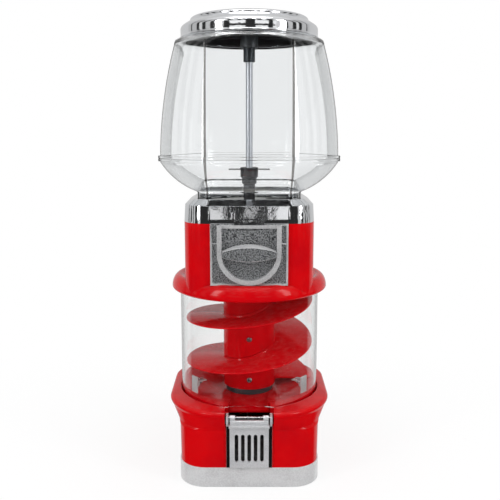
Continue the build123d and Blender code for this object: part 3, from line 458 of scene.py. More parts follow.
@dataclass(frozen=True)
class Paint(Finish):
    """Glossy powder coat with a faint peel, rubbed edges and a little dust.

    Attributes:
        deep: Colour in its thicker places.
        rubbed: Colour of its rubbed edges.
        dusty: Colour of the dust on it.
        peel: How strongly the peel shows.
        wear: How far edges are rubbed.
    """

    deep: Colour = (0.4, 0.0, 0.004)
    rubbed: Colour = (0.72, 0.10, 0.09)
    dusty: Colour = (0.62, 0.56, 0.53)
    peel: float = 0.05
    wear: float = 0.25

    def shade(self, nodes: Nodes, surface: bpy.types.Node) -> None:
        """Lays out the paint.

        Args:
            nodes: The material's nodes.
            surface: Its shader.
        """
        cloud = nodes.noise(nodes.place(), scale=18.0, detail=4.0, roughness=0.55)
        wear = nodes.shared(EDGE_WEAR, Width=0.0009, Scale=260.0, Amount=self.wear)
        dust = nodes.shared(DUST, Scale=90.0, Amount=0.02)
        marks = nodes.shared(MARKS, Scale=700.0, Amount=0.22)
        skin = nodes.shared(SKIN, Wave_Scale=26.0, Peel_Scale=700.0, Peel=0.25)
        colour = nodes.tint(nodes.span(cloud, 0.3, 0.7), self.deep, self.colour)
        colour = nodes.tint(wear.outputs["Mask"], colour, self.rubbed)
        colour = nodes.tint(dust.outputs["Mask"], colour, self.dusty)
        nodes.feed(surface.inputs["Base Color"], colour)
        rough = nodes.plus(self.roughness, marks.outputs["Mask"], 0.18)
        nodes.feed(surface.inputs["Roughness"], nodes.plus(rough, dust.outputs["Mask"], 0.8))
        surface.inputs["Specular IOR Level"].default_value = 0.16
        surface.inputs["Coat Weight"].default_value = 0.1
        surface.inputs["Coat Roughness"].default_value = 0.03
        nodes.feed(surface.inputs["Normal"], nodes.bump(skin.outputs["Height"], self.peel, distance=0.0006))


@dataclass(frozen=True)
class Plastic(Finish):
    """Moulded plastic with faint waves, wiping marks and dust.

    Attributes:
        texture: How strongly the moulded skin shows.
        peel_scale: How fine that skin is, per metre.
        dust: How much dust lies on it.
        dusty: Colour of that dust.
        gloss: How strongly it reflects; 0.5 is plain plastic.
    """

    texture: float = 0.06
    peel_scale: float = 700.0
    dust: float = 0.05
    dusty: Colour = (0.6, 0.57, 0.54)
    gloss: float = 0.5

    def shade(self, nodes: Nodes, surface: bpy.types.Node) -> None:
        """Lays out the plastic.

        Args:
            nodes: The material's nodes.
            surface: Its shader.
        """
        cloud = nodes.noise(nodes.place(), scale=24.0, detail=5.0, roughness=0.6)
        dust = nodes.shared(DUST, Scale=120.0, Amount=self.dust)
        marks = nodes.shared(MARKS, Scale=800.0, Amount=0.3)
        skin = nodes.shared(SKIN, Wave_Scale=32.0, Peel_Scale=self.peel_scale, Peel=0.4)
        colour = nodes.tint(nodes.span(cloud, 0.25, 0.75), self.darker(0.86), self.colour)
        colour = nodes.tint(dust.outputs["Mask"], colour, self.dusty)
        nodes.feed(surface.inputs["Base Color"], colour)
        rough = nodes.plus(self.roughness, marks.outputs["Mask"], 0.2)
        nodes.feed(surface.inputs["Roughness"], nodes.maths("ADD", rough, dust.outputs["Mask"]))
        surface.inputs["Specular IOR Level"].default_value = self.gloss
        waves = nodes.bump(skin.outputs["Height"], self.texture, distance=0.0007)
        nodes.feed(surface.inputs["Normal"], waves)


@dataclass(frozen=True)
class ClearPlastic(Finish):
    """Clear moulded plastic, with wiping marks and faint waves.

    Attributes:
        bend: Index of refraction.
        edge: Colour of the painted shade where it is seen edge on.
        shadow: How solid it is to light on its way to other pieces.
    """

    bend: float = 1.49
    edge: Colour = (0.5, 0.52, 0.52)
    shadow: float = 0.08

    def shade(self, nodes: Nodes, surface: bpy.types.Node) -> None:
        """Lays out the clear plastic, with painted shade where it is seen edge on.

        Args:
            nodes: The material's nodes.
            surface: Its shader.
        """
        marks = nodes.shared(MARKS, Scale=500.0, Amount=0.5)
        skin = nodes.shared(SKIN, Wave_Scale=9.0, Peel_Scale=60.0, Peel=0.2)
        nodes.feed(surface.inputs["Roughness"], nodes.plus(self.roughness, marks.outputs["Lines"], 0.05))
        # Painted shade: greyer where the face is seen edge on
        edge_on_painted_shade = nodes.span(nodes.add("LayerWeight").outputs["Facing"], 0.80, 0.98)
        nodes.feed(surface.inputs["Base Color"], nodes.tint(edge_on_painted_shade, self.colour, self.edge))
        surface.inputs["Transmission Weight"].default_value = 1.0
        path = nodes.add("LightPath")
        passing = nodes.maths("MAXIMUM", path.outputs["Is Shadow Ray"], path.outputs["Is Diffuse Ray"])
        solid = nodes.span(passing, 0.0, 1.0, to_low=1.0, to_high=self.shadow)
        nodes.feed(surface.inputs["Alpha"], solid)
        surface.inputs["IOR"].default_value = self.bend
        waves = nodes.bump(skin.outputs["Height"], strength=0.10, distance=0.0012)
        nodes.feed(surface.inputs["Normal"], waves)


@dataclass(frozen=True)
class Chrome(Finish):
    """Bright plate over a polished casting.

    Attributes:
        wave: How strongly the casting's waves show through.
    """

    wave: float = 0.25

    def shade(self, nodes: Nodes, surface: bpy.types.Node) -> None:
        """Lays out the plate.

        Args:
            nodes: The material's nodes.
            surface: Its shader.
        """
        marks = nodes.shared(MARKS, Scale=1100.0, Amount=0.5)
        dust = nodes.shared(DUST, Scale=140.0, Amount=0.06)
        skin = nodes.shared(SKIN, Wave_Scale=45.0, Peel_Scale=260.0, Peel=0.18)
        nodes.feed(surface.inputs["Metallic"], nodes.maths("SUBTRACT", 1.0, dust.outputs["Mask"]))
        rough = nodes.plus(self.roughness, marks.outputs["Mask"], 0.10)
        nodes.feed(surface.inputs["Roughness"], nodes.maths("ADD", rough, dust.outputs["Mask"]))
        tone = nodes.tint(marks.outputs["Mask"], self.colour, self.darker(0.86))
        nodes.feed(surface.inputs["Base Color"], tone)
        nodes.feed(surface.inputs["Normal"], nodes.bump(skin.outputs["Height"], self.wave, distance=0.0006))


@dataclass(frozen=True)
class CastMetal(Finish):
    """Bare casting with a stippled skin and rubbed, brighter edges.

    Attributes:
        dark: Colour in its pits.
        dusty: Colour of the dust on it.
        scale: How fine the stipple is, per metre.
        grain: Share of the stipple in its colour.
        relief: How strongly the stipple stands up.
        rubbed: How far its edges are rubbed bright.
        metal: How metallic its skin is; bare casting turns matt and grey in the air.
    """

    dark: Colour = (0.2, 0.2, 0.21)
    dusty: Colour = (0.5, 0.48, 0.46)
    scale: float = 900.0
    grain: float = 0.6
    relief: float = 0.5
    rubbed: float = 0.8
    metal: float = 0.5

    def shade(self, nodes: Nodes, surface: bpy.types.Node) -> None:
        """Lays out the casting.

        Args:
            nodes: The material's nodes.
            surface: Its shader.
        """
        cast = nodes.shared(CAST, Scale=self.scale, Grain=self.grain)
        wear = nodes.shared(EDGE_WEAR, Width=0.0010, Scale=320.0, Amount=self.rubbed)
        dust = nodes.shared(DUST, Scale=160.0, Amount=0.08)
        bright = tuple(min(1.0, 1.35 * part + 0.12) for part in self.colour)
        colour = nodes.tint(nodes.span(cast.outputs["Shade"], 0.15, 0.7), self.dark, self.colour)
        colour = nodes.tint(wear.outputs["Mask"], colour, bright)
        nodes.feed(surface.inputs["Base Color"], nodes.tint(dust.outputs["Mask"], colour, self.dusty))
        nodes.feed(surface.inputs["Metallic"], nodes.maths("SUBTRACT", self.metal, dust.outputs["Mask"]))
        rough = nodes.maths("SUBTRACT", self.roughness, nodes.maths("MULTIPLY", wear.outputs["Mask"], 0.25))
        nodes.feed(surface.inputs["Roughness"], rough)
        nodes.feed(surface.inputs["Normal"], nodes.bump(cast.outputs["Height"], self.relief, distance=0.0002))


@dataclass(frozen=True)
class Plated(Finish):
    """Zinc-plated or drawn steel, with fine lines along one axis.

    Attributes:
        lines: Scale along each axis; a small number draws the lines out.
    """

    lines: Place = (1.0, 1.0, 0.03)

    def shade(self, nodes: Nodes, surface: bpy.types.Node) -> None:
        """Lays out the plating.

        Args:
            nodes: The material's nodes.
            surface: Its shader.
        """
        drawn = nodes.noise(nodes.stretch(self.lines), scale=2600.0, detail=3.0, roughness=0.6)
        cloud = nodes.noise(nodes.place(), scale=120.0, detail=4.0, roughness=0.6)
        cloud = nodes.span(cloud, 0.3, 0.7)
        nodes.feed(surface.inputs["Base Color"], nodes.tint(cloud, self.darker(0.72), self.colour))
        surface.inputs["Metallic"].default_value = 1.0
        nodes.feed(surface.inputs["Roughness"], nodes.plus(self.roughness, cloud, 0.12))
        nodes.feed(surface.inputs["Normal"], nodes.bump(drawn, strength=0.25, distance=0.00008))


# Red parts
RED_COAT = Paint("red_powder_coat", "red_paint", (0.58, 0.0, 0.002), 0.14, deep=(0.48, 0.0, 0.003))
SPIRAL_RED = Plastic("spiral_red", "red_plastic", (0.66, 0.0, 0.004), 0.10, gloss=0.16)
BOWL_RED = Plastic("bowl_red", "red_plastic", (0.60, 0.0, 0.004), 0.08, gloss=0.22)

# Chrome; the lid's inside is rougher and darkened with painted shade
BRIGHT_CHROME = Chrome("bright_chrome", "chrome", (0.86, 0.87, 0.89), 0.035)
LID_CHROME = Chrome("lid_chrome", "chrome", (0.88, 0.89, 0.91), 0.05, wave=0.35)
LID_PAINTED_SHADE = Chrome("lid_inside_painted_shade", "chrome", (0.055, 0.055, 0.056), 0.3)

# Castings and brackets; the shaded one is for faces deep inside the chute
SKIRT_CAST = CastMetal("skirt_casting", "cast_aluminium", (0.86, 0.87, 0.88), 0.34,
                       dark=(0.66, 0.66, 0.67), scale=500.0, grain=0.25, relief=0.18, rubbed=0.5, metal=0.35)
PLATE_CAST = CastMetal("faceplate_casting", "zinc_casting", (0.40, 0.41, 0.42), 0.36,
                       dark=(0.035, 0.037, 0.04), scale=620.0, grain=1.0, relief=0.9, rubbed=0.6)
GRIP_CAST = CastMetal("handle_casting", "zinc_casting", (0.38, 0.39, 0.40), 0.34,
                      dark=(0.03, 0.032, 0.035), scale=640.0, grain=1.0, relief=0.8, rubbed=0.6)
DOOR_CAST = CastMetal("door_casting", "zinc_casting", (0.80, 0.81, 0.83), 0.32,
                      dark=(0.56, 0.57, 0.59), scale=900.0, grain=0.4, relief=0.35, rubbed=0.9, metal=0.4)
WORKS_CAST = CastMetal("works_casting", "zinc_works", (0.58, 0.58, 0.56), 0.42,
                       dark=(0.36, 0.36, 0.35), scale=700.0, grain=0.5, relief=0.4, rubbed=0.6)
POLISHED_CAST = CastMetal("polished_casting", "zinc_casting", (0.74, 0.74, 0.75), 0.2,
                          dark=(0.5, 0.5, 0.51), scale=500.0, grain=0.3, relief=0.2, rubbed=0.6, metal=0.45)
DARK_INSIDE = CastMetal("shaded_casting", "zinc_casting", (0.035, 0.036, 0.038), 0.55,
                        dark=(0.015, 0.015, 0.016), rubbed=0.0, metal=0.9)
BRACKET = CastMetal("plated_brackets", "bright_steel", (0.80, 0.80, 0.80), 0.25,
                    dark=(0.6, 0.6, 0.6), scale=500.0, grain=0.2, relief=0.1, rubbed=0.5, metal=0.45)

# Clear plastic; the grey where a piece is seen edge on, and the dark line along a crease of the globe, are
# painted shade
CLEAR = ClearPlastic("clear_globe", "clear_plastic", (0.97, 0.98, 0.985), 0.01)
CLEAR_TUBE = ClearPlastic("clear_cylinder", "clear_plastic", (0.975, 0.985, 0.985), 0.01)
PAINTED_CREASE_SHADE = ClearPlastic("globe_crease_painted_shade", "clear_plastic", (0.10, 0.095, 0.09), 0.02, edge=(0.06, 0.06, 0.055))

# Other plastics
BLACK = Plastic("black_moulding", "black_plastic", (0.018, 0.018, 0.02), 0.34,
                texture=0.2, peel_scale=1500.0)
SMOKE_GREY = Plastic("grey_foot_ring", "grey_plastic", (0.045, 0.05, 0.055), 0.38,
                     texture=0.2, peel_scale=1300.0)
WHITE = Plastic("white_moulding", "white_plastic", (0.74, 0.73, 0.69), 0.28, texture=0.1)

# Steel, and the lock
ROD = Plated("zinc_rod", "zinc_rod", (0.20, 0.235, 0.26), 0.24)
DARK_STEEL = Plated("dark_coupling", "zinc_rod", (0.10, 0.11, 0.12), 0.38)
BRIGHT_STEEL = Plated("bright_screws", "bright_steel", (0.66, 0.66, 0.67), 0.22, lines=(1.0, 1.0, 1.0))
LOCK = Plated("lock_body", "lock_metal", (0.16, 0.17, 0.18), 0.42, lines=(1.0, 1.0, 0.2))
LOCK_FACE = Plated("lock_face", "lock_metal", (0.6, 0.6, 0.6), 0.26, lines=(1.0, 1.0, 1.0))


def held(value: float) -> float:
    """A value held between 0 and 1."""
    return min(max(value, 0.0), 1.0)


def ring_square(half: float, corner: float, level: float, side: int = 10, turn: int = 18) -> Ring:
    """A level ring with four flat sides and round corners.

    Args:
        half: Half its width.
        corner: Radius of its corners.
        level: Its height.
        side: Points along each side.
        turn: Points round each corner.

    Returns:
        The ring's points.
    """
    flat = half - corner
    quarter = [(half, -flat + 2 * flat * step / side) for step in range(side)]
    for step in range(turn):
        angle = step * math.pi / 2 / turn
        quarter.append((flat + corner * math.cos(angle), flat + corner * math.sin(angle)))
    ring: Ring = []
    for spin in range(4):
        for x, y in quarter:
            for _ in range(spin):
                x, y = -y, x
            ring.append((x, y, level))
    return ring


def ring_round(radius: float, level: float, count: int) -> Ring:
    """A level circle as a ring of points.

    Args:
        radius: Its radius.
        level: Its height.
        count: How many points it has.

    Returns:
        The ring's points.
    """
    angles = [2 * math.pi * step / count for step in range(count)]
    return [(radius * math.cos(angle), radius * math.sin(angle), level) for angle in angles]


def softened(path: Sequence[Sequence[float]], radius: float, steps: int) -> list[Vector]:
    """Rounds the corners of an open path in any number of sizes.

    Args:
        path: The path's corners.
        radius: How far from a corner its round starts.
        steps: Points in each round.

    Returns:
        The path with its corners rounded.
    """
    points = [Vector(point) for point in path]
    rounded = [points[0]]
    for before, here, after in zip(points, points[1:], points[2:]):
        back, ahead = before - here, after - here
        reach = min(radius, 0.45 * back.length, 0.45 * ahead.length)
        start, end = here + back.normalized() * reach, here + ahead.normalized() * reach
        for step in range(steps + 1):
            share = step / steps
            rounded.append(start.lerp(here, share).lerp(here.lerp(end, share), share))
    return rounded + [points[-1]]


def arc_through(first: Point, middle: Point, last: Point, steps: int) -> list[Point]:
    """Points on the circle's arc through three points.

    Args:
        first: Where the arc starts.
        middle: A point on it.
        last: Where it ends.
        steps: Parts it is divided into.

    Returns:
        The arc's points.
    """
    (ax, ay), (bx, by), (cx, cy) = first, middle, last
    twice = 2 * (ax * (by - cy) + bx * (cy - ay) + cx * (ay - by))
    squares = [x * x + y * y for x, y in (first, middle, last)]
    x0 = (squares[0] * (by - cy) + squares[1] * (cy - ay) + squares[2] * (ay - by)) / twice
    y0 = (squares[0] * (cx - bx) + squares[1] * (ax - cx) + squares[2] * (bx - ax)) / twice
    radius = math.hypot(ax - x0, ay - y0)
    start, via, end = (math.atan2(y - y0, x - x0) for x, y in (first, middle, last))
    sweep = (end - start) % (2 * math.pi)
    if (via - start) % (2 * math.pi) > sweep:
        sweep -= 2 * math.pi
    angles = [start + sweep * step / steps for step in range(steps + 1)]
    return [(x0 + radius * math.cos(angle), y0 + radius * math.sin(angle)) for angle in angles]


def skin(name: str, rings: Sequence[Ring], wrap: bool = False) -> bpy.types.Object:
    """A closed surface through rings that have the same number of points.

    Args:
        name: The piece's name.
        rings: The rings, in millimetres.
        wrap: Joins the last ring to the first; otherwise both ends are capped.

    Returns:
        The piece.
    """
    count = len(rings[0])
    points = [tuple(MM * part for part in point) for ring in rings for point in ring]
    faces = []
    for index in range(len(rings) if wrap else len(rings) - 1):
        low, high = index * count, (index + 1) % len(rings) * count
        faces += [(low + step, low + (step + 1) % count, high + (step + 1) % count, high + step)
                  for step in range(count)]
    if not wrap:
        faces += [tuple(range(count))[::-1], tuple(range(len(points) - count, len(points)))]
    mesh = bpy.data.meshes.new(name)
    mesh.from_pydata(points, [], faces)
    build = bmesh.new()
    build.from_mesh(mesh)
    bmesh.ops.recalc_face_normals(build, faces=build.faces)
    build.to_mesh(mesh)
    build.free()
    piece = bpy.data.objects.new(name, mesh)
    bpy.context.scene.collection.objects.link(piece)
    return piece


def turned(name: str, outline: Iterable[Sequence[float]], count: int) -> bpy.types.Object:
    """A ring-shaped piece turned from a closed outline of radius and height.

    Args:
        name: The piece's name.
        outline: The outline's corners; its last joins its first.
        count: Facets round the piece.

    Returns:
        The piece.
    """
    return skin(name, [ring_round(point[0], point[1], count) for point in outline], wrap=True)


def bar(name: str, low: Sequence[float], high: Sequence[float]) -> bpy.types.Object:
    """A block between two corners.

    Args:
        name: The piece's name.
        low: Its lowest corner, in millimetres.
        high: Its highest corner, in millimetres.

    Returns:
        The piece.
    """
    mesh = bpy.data.meshes.new(name)
    build = bmesh.new()
    bmesh.ops.create_cube(build, size=1.0)
    for vertex in build.verts:
        vertex.co = [MM * (a + (b - a) * (0.5 + part)) for a, b, part in zip(low, high, vertex.co)]
    build.to_mesh(mesh)
    build.free()
    piece = bpy.data.objects.new(name, mesh)
    bpy.context.scene.collection.objects.link(piece)
    return piece


def settle(piece: bpy.types.Object) -> None:
    """Turns a piece's modifiers into its mesh."""
    shape = bpy.data.meshes.new_from_object(piece.evaluated_get(bpy.context.evaluated_depsgraph_get()))
    piece.modifiers.clear()
    piece.data = shape


def carve(piece: bpy.types.Object, *cutters: bpy.types.Object, join: bool = False) -> None:
    """Cuts other shapes from a piece, or joins them to it, and removes them.

    Args:
        piece: The piece that changes.
        *cutters: The shapes.
        join: Joins the shapes rather than cutting them.
    """
    for cutter in cutters:
        step = piece.modifiers.new("carve", "BOOLEAN")
        step.operation = "UNION" if join else "DIFFERENCE"
        step.object = cutter
        step.solver = "EXACT"
    settle(piece)
    for cutter in cutters:
        bpy.data.objects.remove(cutter)


def ease(piece: bpy.types.Object, width: float, angle: float = 32.0, segments: int = 2) -> None:
    """Rounds a piece's sharp edges.

    Args:
        piece: The piece.
        width: Width of the rounds, in millimetres.
        angle: Edges that turn more than this, in degrees, are rounded.
        segments: Facets across each round.
    """
    step = piece.modifiers.new("ease", "BEVEL")
    step.width = MM * width
    step.segments = segments
    step.limit_method = "ANGLE"
    step.angle_limit = math.radians(angle)
    step.use_clamp_overlap = True
    step.harden_normals = False
    even = piece.modifiers.new("even", "WEIGHTED_NORMAL")
    even.keep_sharp = True
    piece.data.shade_smooth()
    settle(piece)


def recast(name: str, node: str, width: float, angle: float = 32.0) -> bpy.types.Object:
    """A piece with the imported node's shape and eased edges.

    Args:
        name: The new piece's name.
        node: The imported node.
        width: Width of the eased edges, in millimetres.
        angle: Edges that turn more than this, in degrees, are eased.

    Returns:
        The piece.
    """
    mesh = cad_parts[node].data.copy()
    mesh.materials.clear()
    build = bmesh.new()
    build.from_mesh(mesh)
    bmesh.ops.remove_doubles(build, verts=build.verts, dist=WELD)
    bmesh.ops.dissolve_limit(build, angle_limit=math.radians(FLAT_ENOUGH), verts=build.verts,
                             edges=build.edges)
    build.to_mesh(mesh)
    build.free()
    mesh.name = name
    piece = bpy.data.objects.new(name, mesh)
    bpy.context.scene.collection.objects.link(piece)
    packed_normals = mesh.attributes.get("custom_normal")
    if packed_normals is not None:
        mesh.attributes.remove(packed_normals)
    ease(piece, width, angle)
    return piece


def hand_over(piece: bpy.types.Object, body: Body, finish: Finish, *nodes: str,
              sharp: float = 38.0) -> bpy.types.Object:
    """Dresses a piece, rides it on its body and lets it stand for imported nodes.

    Args:
        piece: The piece.
        body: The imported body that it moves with.
        finish: What it is dressed in.
        *nodes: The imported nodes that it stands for.
        sharp: Edges that turn more than this, in degrees, stay crisp; 0 leaves the shading as it is.

    Returns:
        The piece.
    """
    piece.data.materials.clear()
    piece.data.materials.append(finish.material())
    if sharp:
        piece.data.shade_smooth()
        piece.data.set_sharp_from_angle(angle=math.radians(sharp))
    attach(piece, body.value)
    if nodes:
        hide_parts(*nodes)
    log.info("built %s in %s", piece.name, finish.name)
    return piece


def trim(piece: bpy.types.Object, finish: Finish, test: Callable[[Vector, Vector], bool]) -> bpy.types.Object:
    """Gives some of a piece's faces a second finish.

    Args:
        piece: The piece, already dressed.
        finish: What those faces are dressed in.
        test: Whether a face is one of them, from its middle in millimetres and its normal.

    Returns:
        The piece.
    """
    piece.data.materials.append(finish.material())
    index = len(piece.data.materials) - 1
    for face in piece.data.polygons:
        if test(face.center / MM, face.normal):
            face.material_index = index
    return piece


def draw_in(piece: bpy.types.Object, fixed: float, half: float, wanted: float) -> bpy.types.Object:
    """Brings a piece's left and right sides in and leaves its middle as it is.

    Args:
        piece: The piece.
        fixed: Half width of the middle that stays.
        half: The piece's half width.
        wanted: The half width that it gets.

    Returns:
        The piece.
    """
    for vertex in piece.data.vertices:
        across = abs(vertex.co.x) / MM
        if across > fixed:
            across = fixed + (across - fixed) * (wanted - fixed) / (half - fixed)
            vertex.co.x = math.copysign(across * MM, vertex.co.x)
    return piece


def dress_node(name: str, finish: Finish) -> None:
    """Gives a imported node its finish.

    Args:
        name: The node's name.
        finish: What it is dressed in.
    """
    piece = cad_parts[name]
    piece.data.materials.clear()
    piece.data.materials.append(finish.material())
    log.info("dressed %s in %s", name, finish.name)


@dataclass
class Assembly:
    """A sub-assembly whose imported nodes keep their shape."""

    def finishes(self) -> dict[str, Finish]:
        """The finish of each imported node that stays."""
        return {}

    def build(self) -> None:
        """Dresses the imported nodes."""
        for name, finish in self.finishes().items():
            dress_node(name, finish)


@dataclass
class Foot(Assembly):
    """Cast skirt, and the nut and washer under it."""

    def finishes(self) -> dict[str, Finish]:
        """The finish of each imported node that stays."""
        return {"rod_nut": BRIGHT_STEEL, "rod_washer": BRIGHT_STEEL}

    def build(self) -> None:
        """Builds the skirt and dresses what is under it."""
        super().build()
        skirt = recast("cast_skirt", "base_skirt", width=0.6)
        hand_over(skirt, Body.FRAME, SKIRT_CAST, "base_skirt", sharp=0)


@dataclass
class Housing(Assembly):
    """Red lower housing with the bowl floor in it.

    Attributes:
        half: Half width of the straight wall.
        corner: Radius of its corners.
        foot: Level of its foot.
        shoulder: Level where the flare starts.
        flare_half: Half width of the flare.
        flare_corner: Radius of the flare's front corners.
        flare: Level where the flare is widest.
        band: Level of the top of its upright band.
        rim: Level of the rim.
        socket: Radius of the cylinder's socket.
        ledge: Level that the bowl rests on.
        mouth: Radius of the hole in the ledge.
        wall: Thickness of the wall.
        back_corner: How much smaller the radius of the flare's back corners is.
        back_from: Level above which they are smaller.
        back_run: Height over which they become so.
        back_flat: Flat half width at which they are fully so.
        notch: Half width of the notch over the chute.
        notch_foot: Level of the notch's foot.
        face_foot: Level of the foot of the flat face round the opening.
        opening: Half width of the opening for the chute.
        opening_foot: Level of its foot.
        opening_top: Level of its top.
        taper: Share by which the side walls come in below the shoulder.
        taper_run: Height over which they come in.
        taper_from: Half width from which they do.
    """

    half: float = 99.3
    corner: float = 38.0
    foot: float = 29.5
    shoulder: float = 84.0
    flare_half: float = 115.5
    flare_corner: float = 88.0
    flare: float = 105.0
    band: float = 112.6
    rim: float = 117.6
    socket: float = 102.4
    ledge: float = 104.6
    mouth: float = 92.0
    wall: float = 3.5
    back_corner: float = 24.0
    back_from: float = 90.0
    back_run: float = 12.0
    back_flat: float = 25.0
    notch: float = 33.5
    notch_foot: float = 92.5
    face_foot: float = 30.5
    opening: float = 30.2
    opening_foot: float = 32.3
    opening_top: float = 93.5
    taper: float = 0.014
    taper_run: float = 6.0
    taper_from: float = 60.0

    def build(self) -> None:
        """Builds the housing and the bowl."""
        hand_over(self.shell(), Body.FRAME, RED_COAT, "lower_housing", sharp=0)
        bowl = recast("ball_bowl", "bowl_floor", width=0.7, angle=24.0)
        hand_over(bowl, Body.FRAME, BOWL_RED, "bowl_floor", sharp=0)

    def outline(self) -> list[Vector]:
        """The outside, over the rim and down the inside, as half width, corner and level."""
        inside = self.half - self.wall
        outside = softened([
            (self.half, self.corner, self.foot), (self.half, self.corner, self.shoulder),
            (self.half + 2.0, self.corner + 13, self.shoulder + 3.5),
            (self.flare_half - 3.0, self.flare_corner - 4, self.flare),
            (self.flare_half, self.flare_corner, self.flare + 4.5),
            (self.flare_half, self.flare_corner, self.band),
            (self.flare_half - 2.5, self.flare_corner, self.band + 2.6),
            (self.socket + 3.0, self.socket + 2.9, self.rim), (self.socket, self.socket - 0.1, self.rim),
            (self.socket, self.socket - 0.1, self.ledge),
        ], radius=2.4, steps=5)
        return outside + [Vector(point) for point in (
            (self.mouth, self.mouth - 0.1, self.ledge), (self.mouth, self.mouth - 0.1, self.ledge - 4.0),
            (inside, self.corner - self.wall, self.ledge - 5.0),
            (inside, self.corner - self.wall, self.foot))]

    def shell(self) -> bpy.types.Object:
        """Builds the housing with its notch and the opening for the chute.

        Returns:
            The housing.
        """
        rings = []
        for half, corner, level in self.outline():
            tighter = held((level - self.back_from) / self.back_run) * held((half - corner) / self.back_flat)
            front = ring_square(half, min(corner, half - 0.05), level)
            back = ring_square(half, min(corner - self.back_corner * tighter, half - 0.05), level)
            rings.append([near if near[1] < 0 else far for near, far in zip(front, back)])
        shell = skin("red_housing", rings, wrap=True)
        before, behind, above = -130.0, -76.0, 130.0
        notch = bar("notch", (-self.notch, before, self.notch_foot), (self.notch, behind, above))
        opening = bar("opening", (-self.opening, before, self.opening_foot),
                      (self.opening, behind, self.opening_top))
        face = bar("face", (-self.notch, before, self.face_foot), (self.notch, -self.half, self.opening_top))
        carve(shell, notch, opening, face)
        ease(shell, width=0.8, angle=40.0)
        for vertex in shell.data.vertices:
            low = held((self.shoulder - vertex.co.z / MM) / self.taper_run)
            if abs(vertex.co.x) > self.taper_from * MM and low > 0:
                vertex.co.x *= 1 - self.taper * low
        return shell


@dataclass
class Chute(Assembly):
    """Gumball chute with its hinged door.

    Attributes:
        inside: Depth behind which faces of the frame lie in shade.
        inside_half: Half width of the part of the frame where they do.
        door_back: Depth behind which faces of the door's back lie in shade.
    """

    inside: float = -102.2
    inside_half: float = 28.5
    door_back: float = -104.0

    def finishes(self) -> dict[str, Finish]:
        """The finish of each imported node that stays."""
        return {"door_pin": BRIGHT_STEEL}

    def build(self) -> None:
        """Builds the frame and the door."""
        super().build()
        surround = recast("chute_surround", "chute_frame", width=0.5)
        hand_over(surround, Body.FRAME, DOOR_CAST, "chute_frame", sharp=0)
        trim(surround, DARK_INSIDE, self.in_frame)
        door = recast("slotted_door", "chute_door", width=0.45)
        hand_over(door, Body.DOOR, DOOR_CAST, "chute_door", sharp=0)
        trim(door, DARK_INSIDE, self.on_door_back)

    def in_frame(self, middle: Vector, normal: Vector) -> bool:
        """Whether a face of the frame lies inside the chute."""
        return middle.y > self.inside and abs(middle.x) < self.inside_half

    def on_door_back(self, middle: Vector, normal: Vector) -> bool:
        """Whether a face of the door looks back into the chute."""
        return normal.y > 0.5 and middle.y > self.door_back


